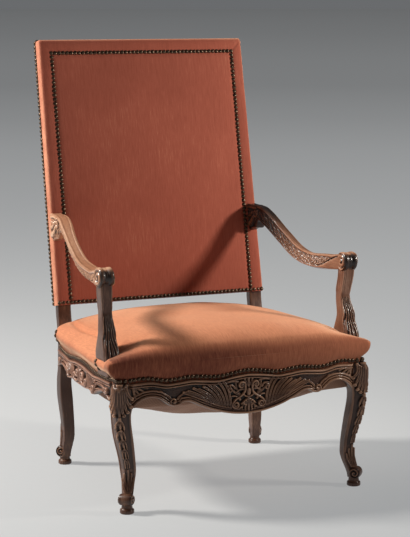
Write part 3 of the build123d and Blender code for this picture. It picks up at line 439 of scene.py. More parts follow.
def woven_material(name, dark, light, thread, roughness=0.9):
    """Plain woven cloth with threads both ways."""
    nodes = Nodes(name)
    links = {"Vector": nodes.place, "Scale": thread, "Distortion": 1.5}
    threads = [nodes.add("ShaderNodeTexWave", links, bands_direction=way).outputs["Fac"] for way in "XY"]
    weave = nodes.maths("MULTIPLY", *threads)
    stain = nodes.noise(nodes.place, 9.0, 5.0, 0.6)
    tone = nodes.maths("MULTIPLY_ADD", weave, 0.35, nodes.maths("MULTIPLY", stain, 0.8))
    nodes.bump(weave, 0.3, 0.0006)
    colour = nodes.ramp(tone, [(0.25, dark), (0.75, light)])
    return nodes.finish(Base_Color=colour, Roughness=nodes.span(stain, roughness - 0.1, roughness))


def metal_material(name, dark, light, metallic):
    """Aged metal with patches of patina."""
    nodes = Nodes(name)
    patina = nodes.noise(nodes.place, 160.0, 4.0)
    fine = nodes.noise(nodes.place, 900.0, 2.0)
    nodes.bump(fine, 0.15, 0.0004)
    colour = nodes.ramp(patina, [(0.3, dark), (0.7, light)])
    return nodes.finish(Base_Color=colour, Metallic=metallic, Roughness=nodes.span(patina, 0.22, 0.42))


grain_x, grain_y, grain_z = (22, 260, 260), (260, 22, 260), (260, 260, 22)
dark_stain = ((0.005, 0.0022, 0.0014), (0.078, 0.031, 0.017), (0.43, 0.23, 0.138))
# Arm stains: the left arm's is wood paled by use and painted light, the right arm's a darker copy as painted
# shade
worn_lit_arm_stain = ((0.022, 0.009, 0.005), (0.37, 0.17, 0.092), (0.68, 0.41, 0.26))
worn_shaded_arm_stain = ((0.016, 0.0065, 0.004), (0.25, 0.112, 0.062), (0.58, 0.33, 0.21))
# Lighter stain for the side rails, as painted light
lit_side_stain = ((0.006, 0.0026, 0.0018), (0.125, 0.052, 0.033), (0.5, 0.275, 0.19))
# Lighter stain for the right arm support, as painted light on its lit inner side
lit_support_stain = ((0.006, 0.0026, 0.0018), (0.15, 0.064, 0.036), (0.66, 0.42, 0.29))
wood_upright = wood_material("stained_wood_upright", *dark_stain, grain_z)
wood_across = wood_material("stained_wood_across", *dark_stain, grain_x)
lit_side_wood = wood_material("lit_stained_side_wood", *lit_side_stain, grain_y)
worn_lit_arm_wood = wood_material("worn_lit_arm_wood_deep", *worn_lit_arm_stain, grain_y, 0.45)
worn_shaded_arm_wood = wood_material("worn_shaded_arm_wood_deep", *worn_shaded_arm_stain, grain_y, 0.35)
lit_support_wood = wood_material("lit_support_wood_upright", *lit_support_stain, grain_z)
# Velvet reds: the seat's run darker at the deep end, which its front face takes as painted shade, and paler
# and more orange above, partly pile thinned by use and partly painted sheen
back_reds = ((0.24, 0.05, 0.028), (0.42, 0.112, 0.07), (0.7, 0.3, 0.18))
seat_reds = ((0.155, 0.038, 0.022), (0.5, 0.17, 0.088), (0.76, 0.305, 0.158))
velvet_back = velvet_material("velvet_back", (420, 30, 30), *back_reds, 0.45)
velvet_seat = velvet_material("velvet_seat", (420, 50, 40), *seat_reds, 0.6)
nail_bronze = metal_material("nail_bronze", (0.032, 0.02, 0.013), (0.15, 0.095, 0.06), 0.8)
lining = woven_material("lining_cloth", (0.22, 0.105, 0.066), (0.4, 0.225, 0.15), 420.0)
plain_wood = wood_material("plain_wood_across", *dark_stain, grain_x, carved=False)
plain_looks = {
    "webbing": woven_material("webbing_jute", (0.2, 0.13, 0.07), (0.4, 0.3, 0.18), 300.0),
    "canvas": woven_material("canvas_cloth", (0.35, 0.28, 0.2), (0.55, 0.46, 0.35), 500.0),
    "stuffing": woven_material("stuffing_hair", (0.05, 0.035, 0.025), (0.14, 0.1, 0.07), 90.0),
    "springs": metal_material("spring_steel", (0.1, 0.09, 0.085), (0.3, 0.29, 0.28), 0.9),
}

# Carved front rail

apron_high = profile([
    (0, 337), (42, 333), (84, 327), (120, 329), (155, 332), (190, 329), (222, 327), (245, 331),
    (268, 334.5), (310, 332), (322, 331),
])
apron_low = profile([
    (0, 230), (35, 232.5), (70, 239), (105, 249.5), (135, 262), (155, 272), (168, 275.5), (180, 274),
    (189, 268.5), (199, 266), (209, 267), (219, 271), (230, 279), (244, 288), (262, 292), (282, 289),
    (298, 280), (310, 268), (322, 253),
])


def front_face_y(x):
    return front_end_y - front_bow + front_face_radius - np.sqrt(front_face_radius**2 - x**2)


def apron_strokes():
    """Carving on one half of the front apron, from its centre outwards."""
    strokes = [
        curl((20, 307), 10.5, 2.5, 1.5, 205, -1, 3.8, 2.4, 7.0),
        stroke([(20, 307), (20.5, 307)], 3.4, 3.4, 7.4),
        blade((10, 304), (6, 288), (26, 277), 4.2, 3.4, 6.6),
        blade((26, 277), (44, 268), (46, 258), 3.4, 3.4, 6.4),
        curl((36, 257), 10, 2.5, 1.5, 0, -1, 3.6, 2.4, 6.8),
        blade((28, 283), (46, 292), (52, 308), 4.0, 1.6, 5.6, 0.45),
        blade((26, 284), (34, 296), (36, 314), 3.6, 1.6, 5.2, 0.45),
        stroke([(0, 293), (0, 284)], 7.5, 6.0, 7.5),
        blade((0, 276), (9, 276), (15, 284), 3.4, 2.0, 5.6),
        blade((0, 271), (12, 268), (20, 258), 3.6, 2.0, 5.6),
        stroke([(0, 268), (0, 237)], 5.0, 2.4, 6.8, 0.45),
        blade((2, 266), (10, 256), (9, 240), 3.8, 1.8, 6.0, 0.45),
        blade((4, 266), (20, 256), (18, 243), 3.6, 1.8, 5.4, 0.45),
        stroke([(0, 304), (0, 322)], 4.6, 3.6, 6.0, 0.45),
        blade((2, 306), (8, 312), (11, 321), 3.8, 3.0, 5.6, 0.45),
        blade((30, 316), (48, 322), (66, 312), 3.0, 1.6, 4.4),
        curl((52, 297), 7.5, 2.0, 1.3, 90, -1, 3.0, 2.0, 6.6),
        curl((9, 262), 7.0, 2.0, 1.2, 250, 1, 2.8, 2.0, 6.4),
        blade((14, 296), (26, 298), (34, 290), 3.4, 2.0, 6.0, 0.3),
        blade((38, 300), (44, 312), (58, 308), 3.2, 1.6, 5.8, 0.3),
        blade((24, 270), (34, 282), (46, 280), 3.4, 1.8, 5.8, 0.3),
        blade((20, 250), (30, 244), (44, 244), 3.2, 1.8, 6.0, 0.3),
        stroke([(203, 277), (203.5, 277)], 6.0, 6.0, 7.0),
        curl((205, 279), 10.5, 3.5, 1.3, 235, 1, 3.4, 2.2, 6.2),
        stroke([(187, 277), (187.5, 277)], 4.6, 4.6, 5.6),
        blade((194, 285), (182, 300), (160, 304), 3.6, 1.4, 5.0, 0.45),
        blade((212, 286), (224, 302), (250, 308), 3.6, 1.2, 4.6, 0.45),
        stroke(through([(48, 250), (86, 260), (124, 276), (158, 290)], 12), 3.0, 1.8, 5.0),
    ]
    for i in range(9):
        t = i / 8
        root = (mix(50, 112, t), mix(254, 268, t))
        tip = (mix(70, 178, t), mix(319, 301, t) + 3 * math.sin(2.3 * i))
        pull = (mix(52, 128, t), mix(300, 284, t))
        strokes.append(blade(root, pull, tip, 3.8, 3.8, mix(6.6, 5.2, t), 0.55))
    for i in range(4):
        t = i / 3
        tip = (mix(303, 272, t), mix(294, 318, t))
        pull = (mix(308, 292, t), mix(306, 325, t))
        strokes.append(blade((309, 325), pull, tip, 4.2, 2.0, 4.8, 0.5))
    return strokes


def rail_face(at, along, edges, rows, strokes, beads, gain, rough, seed, sunk, reach, shade):
    """Carved face of a rail: places up it, carved height, its tone from use with painted shade and highlight,
    and how far its arrises are rounded off.

    Each bead is (0 for the lower edge or 1 for the upper one, distance from it, half width, rise).
    """
    low, high = edges
    z = mix(low, high, np.linspace(0, 1, rows)[None, :])
    along = np.broadcast_to(along, z.shape)
    tilt = np.abs(np.gradient(low[:, 0], at[:, 0]))[:, None]
    from_edges = (z - low) / np.sqrt(1 + tilt**2), high - z
    height = carve(along, z, strokes)
    for edge, *sizes in beads:
        height = np.maximum(height, bead(from_edges[edge], *sizes))
    ground = height < 0.6
    height = gain * height + rough * ripple(along, z, 4.2, seed) * ground - sunk
    # Painted shade: the carved ground is darkened by the given shade, over the tone of the carving
    relief = clamp(wear_and_painted_light(height, reach) - shade * ground)
    arris = sum(clamp(1 - gap / 3) ** 2 for gap in from_edges)
    return z, height, relief, 3.0 * arris


def closed_rail(face, rear, relief):
    """Rail closed behind its face by an upper and a lower rear line."""
    points = np.concatenate([face] + [line[:, None] for line in rear], 1)
    relief = np.concatenate([relief, np.full((len(face), 2), 0.2)], 1)
    return Shape().grid(points, relief, wrap=True, caps=True)


def front_apron():
    apron_end = front_end_x + 10
    x = np.linspace(-apron_end, apron_end, 571)[:, None]
    across = np.abs(x)
    edges = apron_low(across), apron_high(across)
    reeded = smooth((across - 214) / 16)
    beads = [(0, 4.2, 4.0, 6.4), (0, 11.0, 2.6, 4.2), (0, 17.5, 3.0, 4.6 * reeded)]
    beads += [(1, 4.6, 3.8, 5.8), (1, 11.6, 2.6, 4.4)]
    looks = {"gain": 1.45, "rough": 0.55, "seed": 5, "sunk": 4.8, "reach": 5, "shade": 0.22}
    z, height, relief, arris = rail_face(x, across, edges, 84, apron_strokes(), beads, **looks)
    height = mix(height, -6.0, smooth((across - front_end_x - 1) / 8))
    y = front_face_y(x) - height + arris
    face = np.stack([np.broadcast_to(x, z.shape), y, z], -1)
    rear_y = front_face_y(x) + apron_thickness
    rear = [np.concatenate([x, rear_y, edge], 1) for edge in reversed(edges)]
    return closed_rail(face, rear, relief)


# Carved side rails


def side_face_x(y):
    t = (y - rail_start_y) / rail_span
    return mix(side_front_x, side_rear_x, t) + side_bow * (1 - (2 * t - 1) ** 2)


side_high = profile([(0, 335), (0.1, 333), (0.22, 327), (0.36, 329), (0.5, 331)])
side_low = profile([
    (0, 276), (0.09, 276), (0.17, 279), (0.215, 275), (0.25, 276), (0.3, 286), (0.38, 295), (0.46, 289),
    (0.5, 280),
])


def side_strokes():
    """Carving on one half of a side rail, from its middle outwards."""
    strokes = [
        stroke([(0, 314), (0, 288)], 9.0, 7.0, 8.0, 0.4),
        blade((4, 312), (10, 318), (14, 325), 4.6, 3.0, 6.4, 0.45),
        curl((23, 304), 13, 3, 1.5, 200, -1, 4.8, 3.0, 7.8),
        blade((9, 299), (14, 282), (40, 284), 4.8, 4.0, 7.0),
        curl((50, 295), 11.5, 3, 1.4, 235, 1, 4.4, 2.8, 7.4),
        curl((112, 290), 12.5, 3, 1.5, 245, 1, 4.6, 3.0, 7.6),
        blade((122, 294), (132, 312), (156, 312), 5.0, 2.6, 6.8, 0.5),
        blade((124, 288), (140, 297), (164, 297), 4.8, 2.2, 6.4, 0.5),
        blade((152, 310), (186, 316), (208, 298), 4.0, 4.2, 6.2, 0.45),
        curl((213, 305), 11, 3, 1.4, 160, 1, 4.2, 2.6, 7.0),
    ]
    for i in range(6):
        t = i / 5
        root = (mix(58, 98, t), mix(286, 294, t))
        tip = (mix(66, 124, t), mix(322, 312, t))
        pull = (root[0] + 2, mix(308, 302, t))
        strokes.append(blade(root, pull, tip, 4.0, 4.4, 6.6, 0.55))
    return strokes


def side_rail():
    y = np.linspace(rail_start_y, rail_end_y, 400)[:, None]
    off = np.abs((y - rail_start_y) / rail_span - 0.5)
    edges = side_low(off), side_high(off)
    beads = [(0, 4.2, 4.0, 5.8), (1, 4.6, 3.8, 5.4), (1, 11.4, 2.4, 3.8)]
    looks = {"gain": 1.4, "rough": 0.5, "seed": 8, "sunk": 4.5, "reach": 4, "shade": 0.2}
    z, height, relief, arris = rail_face(y, off * rail_span, edges, 56, side_strokes(), beads, **looks)
    face = np.stack([side_face_x(y) + height - arris, np.broadcast_to(y, z.shape), z], -1)
    rear_x = side_face_x(y) - side_thickness
    rear = [np.concatenate([rear_x, y, edge], 1) for edge in reversed(edges)]
    return closed_rail(face, rear, relief)


# Scrolls and legs

neck_z, ankle_z = 20.0, 90.0
front_knee_z, rear_knee_z = 250.0, 235.0
scroll_z, scroll_out, scroll_pitch = 36.0, 6.0, 8.5
foot_line = [(16, 0), (18, 1.5), (18.3, 6), (17.6, 10.5), (15, 12.5), (14, 16), (13.5, 24), (13, 34)]


def roll(shape, centre, axis, front, radius, length, lobes, lobe_depth, pitch, wrap_all=True, sunk=0.0):
    """Scroll about a straight axis: lobed round its girth, with a spiral cut into both ends.

    A sunk middle lobe makes the front of the scroll a hollow between two curls, and such a scroll takes
    painted shade on its front and underside.
    """
    axis, front = Vector(axis).normalized(), Vector(front).normalized()
    up = axis.cross(front)
    angle = circle(64)[None, :]
    rim = 3.0
    # Stations from end to end: place along the axis, radius, and whether it lies on an end face
    stations = [(-length / 2, s * (radius - rim), True) for s in np.linspace(0.02, 1, 14)]
    for a in np.linspace(0, math.pi / 2, 5)[1:]:
        stations.append((-length / 2 + rim * (1 - math.cos(a)), radius - rim + rim * math.sin(a), False))
    first_end = list(stations)
    stations += [(t, radius, False) for t in np.linspace(-length / 2 + rim, length / 2 - rim, 30)[1:-1]]
    stations += [(-t, r, flat) for t, r, flat in reversed(first_end)]
    along, girth, flat = np.array(stations).T[..., None]
    flat = flat > 0
    facing = np.ones_like(angle) if wrap_all else smooth((np.cos(angle) + 0.35) / 0.8)
    wave = np.abs(np.cos(math.pi * lobes * along / length))
    middle = smooth((length / (2 * lobes) - np.abs(along)) / 2.5)
    cut = -(lobe_depth * (1 - np.sqrt(wave)) + sunk * middle) * facing
    # Painted shade on the front and underside of a scroll with a sunk middle
    shade = smooth((np.cos(angle) + 0.6 * np.sin(angle) + 0.1) / 0.8) * (sunk > 0)
    spin = np.cos(angle - np.sign(along) * 2 * math.pi * girth / pitch)
    eye = smooth((girth - 0.2 * radius) / (0.1 * radius))
    spiral = 2.0 * mix(1.0, spin, eye)
    out = np.where(flat, girth, girth + cut)
    side = along + np.where(flat, np.sign(along) * spiral, 0.0)
    # Tone: darker in the grooves between the lobes and in the grooves of the end spirals, as painted shade; a
    # scroll with a sunk middle starts paler, as a painted highlight on its top, and its front is held dark by
    # the painted shade
    ridges = np.where(sunk > 0, 0.9, 0.55) - 0.4 * (1 - np.sqrt(wave)) - (0.78 + 0.2 * middle) * shade
    relief = np.where(flat, 0.4 + 0.38 * spin, clamp(ridges))
    points = np.asarray(centre, float) + side[..., None] * np.array(axis)
    points = points + (out * np.cos(angle))[..., None] * np.array(front)
    points = points + (out * np.sin(angle))[..., None] * np.array(up)
    shape.grid(points, relief, wrap=True, caps=True)


def lathe(shape, x, y, line):
    """Turned piece about an upright axis, from points of its outline."""
    line = through(line, 24)
    angle = circle(40)
    ring = np.stack([np.cos(angle), np.sin(angle)], -1)
    points = np.empty((len(line), len(angle), 3))
    points[..., :2] = np.array([x, y]) + line[:, 0, None, None] * ring
    points[..., 2] = line[:, 1, None]
    shape.grid(points, wrap=True, caps=True)


def foot_leaf(s, z, *sizes):
    """Blade over a scroll foot, from near a leg's corner to a place at its side."""
    return blade((s * 0.4, 54), (s, 74), (s * 1.05, z), *sizes)


def knee_strokes():
    """Leaf on the outer corner of a front leg, drops of husks below it and a leaf over the foot.

    Places are (distance from the corner round the leg, height).
    """
    strokes = [
        stroke([(0, 330), (0, 318)], 10.0, 7.0, 7.0),
        blade((0, 318), (0, 280), (0, 250), 5.5, 3.6, 7.6, 0.55),
        stroke([(0, 247), (0, 243)], 5.2, 5.2, 8.4),
    ]
    blades = [(5, 318, 11, 254), (10, 320, 22, 262), (15, 323, 31, 275), (19, 327, 36, 294)]
    for i, (s0, z0, s1, z1) in enumerate(blades):
        rise = 7.4 - 0.5 * i
        strokes.append(blade((s0, z0), (s0 + 1, mix(z0, z1, 0.65)), (s1, z1), 5.4, 4.0, rise, 0.6))
        strokes.append(curl((s1 + 1, z1), 4.0, 1.5, 0.8, 200, 1, 2.6, 2.2, rise + 0.8))
    husks = 5
    for i in range(husks):
        t = i / (husks - 1)
        z = mix(226, 128, t)
        width = mix(10.0, 5.0, t)
        rise = mix(8.0, 4.6, t)
        strokes.append(stroke([(0, z + 6), (0, z - 14)], width * 0.42, width * 0.16, rise, 0.4))
        leaf = (1, z + 13), (width * 1.25, z + 5), (width * 0.95, z - 13)
        strokes.append(blade(*leaf, width * 0.46, 1.1, rise * 0.9, 0.35))
    for s, z in ((0, 108), (8, 99), (14, 86)):
        strokes.append(foot_leaf(s, z, 4.4, 2.4, 5.2, 0.5))
    return strokes


def cabriole_axis(z, neck, ankle, knee, knee_z):
    """Centre line of a leg from the neck of its foot in to its ankle and out to its knee."""
    low = smooth((z - neck_z) / (ankle_z - neck_z))[:, None]
    high = smooth((z - ankle_z) / (knee_z - ankle_z))[:, None]
    return np.where(z[:, None] < ankle_z, mix(neck, ankle, low), mix(ankle, knee, high))


def leg_tube(z, centre, size, power, out_angle, strokes, edge_bead, turn=0.0):
    """Points and tone, from use with painted shade and highlight, of a leg of rounded square section, carved
    near its outer corner.

    The carving is turned from that corner by a length round the girth.
    """
    section, out = rounded(96, power)
    # Lengths round the girth from the outer corner, and from the corners next to it
    steps = np.linalg.norm(np.roll(section, -1, 0) - section, axis=1)
    girth = np.concatenate([[0], np.cumsum(steps)[:-1]])
    start = np.argmax(section @ [math.cos(out_angle), math.sin(out_angle)])
    unit = (girth - girth[start] + steps.sum() / 2) % steps.sum() - steps.sum() / 2
    half = size.mean(1)[:, None] / 2
    from_corner = np.abs(unit[None, :] * half + turn)
    heights = np.broadcast_to(z[:, None], from_corner.shape)
    height = carve(from_corner, heights, strokes)
    to_next = np.abs(np.abs(unit)[None, :] - steps.sum() / 4) * half
    fade = smooth((z - 70) / 40)[:, None] * smooth((300 - z) / 30)[:, None]
    height = np.maximum(height, bead(to_next, 0.0, 5.0, edge_bead * fade))
    # Painted shade: the carved ground near the outer corner is darkened further
    ground = (height < 0.6) & (from_corner < 30) & (heights > 110)
    relief = clamp(wear_and_painted_light(1.2 * height, 3) - 0.16 * ground)
    height = 1.2 * height - 0.8 - 2.4 * smooth((z - 180) / 60)[:, None]
    return upright(centre, section[None] * size[:, None] / 2, out, height, heights), relief


def scroll_leg(foot, hand, tube, radius, length, lobe_depth):
    """Leg on a scroll that looks out at a corner, forwards or to the rear, and on a turned pad."""
    shape = Shape().grid(*tube, wrap=True, caps=True)
    out = np.array([1, hand]) / math.sqrt(2)
    centre = (*(foot + out * scroll_out), scroll_z)
    roll(shape, centre, (1, -hand, 0), (*out, 0), radius, length, 1, lobe_depth, scroll_pitch)
    lathe(shape, *foot, foot_line)
    return shape


def front_leg():
    foot = np.array([325.0, -268.0])
    z = np.concatenate([np.linspace(22, 262, 190), np.linspace(263.5, 332, 52)])
    centre = cabriole_axis(z, foot + (-2, 3.5), foot + (-12, 21), foot + (10, 13), front_knee_z)
    width = table([(20, 24), (90, 31), (250, 44), (268, 49), (312, 49), (333, 40)], z)
    size = np.repeat(width, 2, 1)
    tube = leg_tube(z, centre, size, 5.0, -math.pi / 4, knee_strokes(), edge_bead=3.2, turn=8.0)
    return scroll_leg(foot, -1, tube, 15.5, 34, 2.6)


def rear_leg():
    foot = np.array([294.0, 268.0])
    parts = ((22, rear_knee_z, 120), (238, 346, 40), (350, 500, 40))
    z = np.concatenate([np.linspace(*part) for part in parts])
    centre = cabriole_axis(z, foot + (-1, -2), foot + (-5.5, -12), foot + (2, -6), rear_knee_z)
    stile = [
        (rear_knee_z, 296, 262), (284, 292, 257.5), (346, 292, 257.5), (449, 292, 274.2), (500, 292, 285),
    ]
    centre = np.where(z[:, None] > rear_knee_z, table(stile, z), centre)
    sizes = [
        (20, 26, 26), (90, 33, 33), (235, 40, 39), (284, 46, 32), (346, 45, 29), (449, 44, 31), (520, 44, 29),
    ]
    strokes = [foot_leaf(s, top, 4.0, 1.4, 2.8, 0.45) for s, top in ((0, 112), (8, 96))]
    tube = leg_tube(z, centre, table(sizes, z), 6.0, math.pi / 4, strokes, edge_bead=0.0)
    return scroll_leg(foot, 1, tube, 17, 29, 2.2)


# Arms and their supports

knuckle = np.array([347.0, -180.0, 589.0])
arm_points = [
    (298, 315, 664), (300, 260, 671), (302, 214, 668), (312.5, 123, 620),
    (317, 43, 586), (320, -40, 575), (335, -117, 580), (346, -176, 587),
]
arm_sizes = [
    (0, 30, 66), (0.09, 31, 51.5), (0.2, 31, 37.5), (0.35, 27, 37),
    (0.55, 27, 37), (0.75, 28, 37), (0.9, 34, 40), (1, 36, 41),
]
arm_tilt = math.radians(20)
support_sizes = [
    (346, 340, -196, 31, 50), (390.6, 342.5, -198, 34, 60), (441.9, 342.6, -181, 33, 47),
    (493.2, 341, -168, 28, 35), (565, 346, -176, 31, 37), (589, 347, -178, 32, 37),
]


def sweep_line(y):
    """Height of the line that sweeps up an arm's side towards its scroll."""
    places = [-218, -201, -175, -154, -129, -103, -78, -43, -28]
    return np.interp(y, places, [598, 607, 604, 598, 587, 574, 565, 558, 557])


def arm_strokes():
    """Leaf and scroll on the sides of an arm's root. Places are (y, z)."""
    return [
        curl((248, 676), 12, 3, 1.25, 150, 1, 4.0, 2.6, 4.6),
        blade((300, 690), (274, 696), (248, 688), 5.0, 4.0, 4.2, 0.3),
        blade((298, 640), (280, 640), (262, 664), 8.0, 4.0, 4.6, 0.4),
        blade((300, 660), (284, 660), (270, 676), 6.0, 3.0, 4.0, 0.4),
    ]


def arm():
    path = through(arm_points, 420)
    way = way_along(path)
    size = table(arm_sizes, way / way[-1])
    # Directions along, across and up, turned about the arm's length between its ends
    ahead = np.gradient(path, axis=0)
    ahead /= np.linalg.norm(ahead, axis=1, keepdims=True)
    across = np.array([1.0, 0, 0]) - ahead[:, :1] * ahead
    across /= np.linalg.norm(across, axis=1, keepdims=True)
    up = np.cross(across, ahead)
    up *= np.sign(up[:, 2:])
    share = way[:, None] / way[-1]
    tilt = arm_tilt * smooth((share - 0.06) / 0.2) * smooth((0.97 - share) / 0.22)
    across, up = across * np.cos(tilt) - up * np.sin(tilt), up * np.cos(tilt) + across * np.sin(tilt)
    section, out = rounded(112, 6.0)
    half_w, half_h = size[:, :1] / 2, size[:, 1:] / 2
    flat = path[:, None] + across[:, None] * (section[:, 0] * half_w)[..., None]
    flat = flat + up[:, None] * (section[:, 1] * half_h)[..., None]
    # The root hooks down where it meets the back
    claw = 14 * smooth((path[:, 1:2] - 242) / 12) - 3 * hump(path[:, 1:2] - 230, 9)
    flat[..., 2] -= claw * smooth((-section[:, 1] - 0.3) / 0.5)[None]
    side, top = np.abs(section[:, 0])[None], section[:, 1][None]
    to_arris = from_arris(section, size)
    on_side = smooth((side - 0.9) / 0.08)
    upper = smooth((top + 0.25) / 0.3)
    fillet = bead(to_arris, 3.5, 2.6, 1.6 * upper)
    # Stippled panel on both sides, ended by a tongue that sweeps up to the scroll
    y, z = flat[..., 1], flat[..., 2]
    tongue = smooth((sweep_line(y) - z) / 2) * smooth((-18 - y) / 15)
    step = hump(z - sweep_line(y) - 1.5, 1.8) * smooth((-14 - y) / 15)
    panel = on_side * smooth((to_arris - mix(2, 6, upper)) / 1.5) * (1 - tongue)
    stipple = 2.2 * ripple(way[:, None], top * half_h, 6.4, 3)
    height = fillet + panel * (stipple - 1.2) - 2.4 * step * on_side
    leaves = carve(y, z, arm_strokes()) * on_side
    height = np.where(leaves > 0.1, np.maximum(height, leaves), height)
    # Tone from use with painted shade and highlight, and more painted shade over the recessed stippled panel
    # and in the groove of the step
    relief = clamp(wear_and_painted_light(height, 4, 0.24) - 0.1 * panel - 0.4 * step * on_side)
    facing = across[:, None] * out[:, :1][None] + up[:, None] * out[:, 1:][None]
    shape = Shape().grid(flat + facing * height[..., None], relief, wrap=True, caps=True)
    roll(shape, knuckle, (1, 0, 0), (0, -1, 0.25), 25.5, 38, 3, 3.2, 12.5, wrap_all=False, sunk=3.5)
    return shape


def arm_support():
    z = np.linspace(340, 586, 140)
    row = table(support_sizes, z)
    centre, size = row[:, :2], row[:, 2:]
    section, out = rounded(96, 6.0)
    place = section[None] * size[:, None] / 2
    across, depth = place[..., 0], place[..., 1]
    heights = np.broadcast_to(z[:, None], across.shape)
    behind = depth + size[:, 1:] / 2
    # Ribs of the leaf that wraps round the front and narrows upwards
    round_front = np.where(section[:, 1][None] < -0.9, np.abs(across), size[:, :1] / 2 + behind)
    taper = np.clip(np.sqrt(np.clip((512 - heights) / 120, 0.02, 2)), 0.3, 1.2)
    wavy = round_front / taper + 2.2 * np.sin(heights / 17)
    ribs = np.abs(np.cos(math.pi * wavy / 7.5))
    forward = smooth((mix(4, 24, smooth((480 - heights) / 100)) - behind) / 3)
    leaf = forward * smooth((500 - heights) / 14) * smooth((heights - 350) / 10)
    height = leaf * (5.6 * np.sqrt(ribs) - 2.4)
    height = height + bead(from_arris(section, size), 3, 2.4, 1.3) * smooth((heights - 500) / 12)
    # Tone from use with painted shade and highlight, and more painted shade over the leaf on the front
    relief = clamp(wear_and_painted_light(height, 3, 0.2) - 0.16 * leaf)
    points = upright(centre, place, out, height, heights)
    # The foot flares to the rear
    points[..., 1] += 30 * smooth((448 - heights) / 58) * smooth(section[:, 1][None])
    return Shape().grid(points, relief, wrap=True, caps=True)


# Seat cover

seat_edge_z, seat_crown, seat_slack = 386.0, 84.0, 15.0
bulge_low_z = 368.0
middle_half, middle_front, middle_rear = 190.0, -40.0, 60.0


def seat_half(y):
    t = (y - seat_front_y) / (rail_end_y - seat_front_y)
    return mix(seat_front_half, seat_rear_half, t)


def seat_outline(kind):
    """Closed line round the seat from above, where it is nailed ("belt") or stands out most ("bulge")."""
    f = np.linspace(-1, 1, 150, endpoint=False)
    t = np.linspace(0, 1, 110, endpoint=False)
    belt = kind == "belt"
    front_x = side_front_x - belt_shift + 2 if belt else seat_front_half
    front_y = front_face_y(f * front_x) + belt_shift - (0 if belt else 12.0 - 3.0 * f**4)
    front = np.stack([f * front_x, front_y], -1)
    y = mix(front_y[0], seat_rear_y, t)
    nailed = side_face_x(np.clip(y, rail_start_y, rail_end_y)) - belt_shift
    x = nailed if belt else np.maximum(seat_half(y), nailed + 2)
    right = np.stack([x, y], -1)
    rear = np.stack([-f * x[-1], np.full(len(f), seat_rear_y)], -1)
    left = right[::-1] * (-1, 1)
    loop = np.concatenate([front, right, rear, left])
    reach = np.arange(-12, 13)
    weights = np.exp(-((reach / (2.6 if belt else 1.8)) ** 2) / 2)
    return sum(w * np.roll(loop, -k, 0) for k, w in zip(reach, weights)) / weights.sum()


def seat_top(x, y):
    """Height of the stuffed seat, with the dents that the nails, the arm supports and use have left."""
    front_y = front_end_y + belt_shift - front_bow - 7
    depth = clamp((y - front_y) / (seat_rear_y - front_y))
    to_front = clamp(1 - depth / 0.55)
    to_rear = clamp(depth / 0.45 - 0.55 / 0.45)
    swell = (1 - to_front**4) ** 0.36 - 0.33 * to_rear**2
    across = clamp(np.abs(x) / seat_half(y))
    fall = (1 - across**2.4) ** 0.8
    z = seat_edge_z + (seat_crown * swell - seat_slack) * fall
    # Dents of the arm supports, a valley along each side and a crease behind the front roll
    stump = np.hypot((np.abs(x) - 345) / 60, (y + 195) / 52)
    z = z - 9 * hump(stump, 1)
    inset = seat_half(y) - np.abs(x)
    valley = hump(inset - 48 + 8 * np.sin(y / 75), mix(5, 8, smooth((y + 200) / 400)))
    z = z - 7.5 * valley * smooth((y + 205) / 60) * smooth((262 - y) / 60)
    roll_line = hump(y + 206 - 0.1 * inset, 15)
    z = z - 4.0 * roll_line * smooth((190 - inset) / 150) * smooth(inset / 20)
    return z + 1.3 * ripple(x, y, 150, 21) * fall


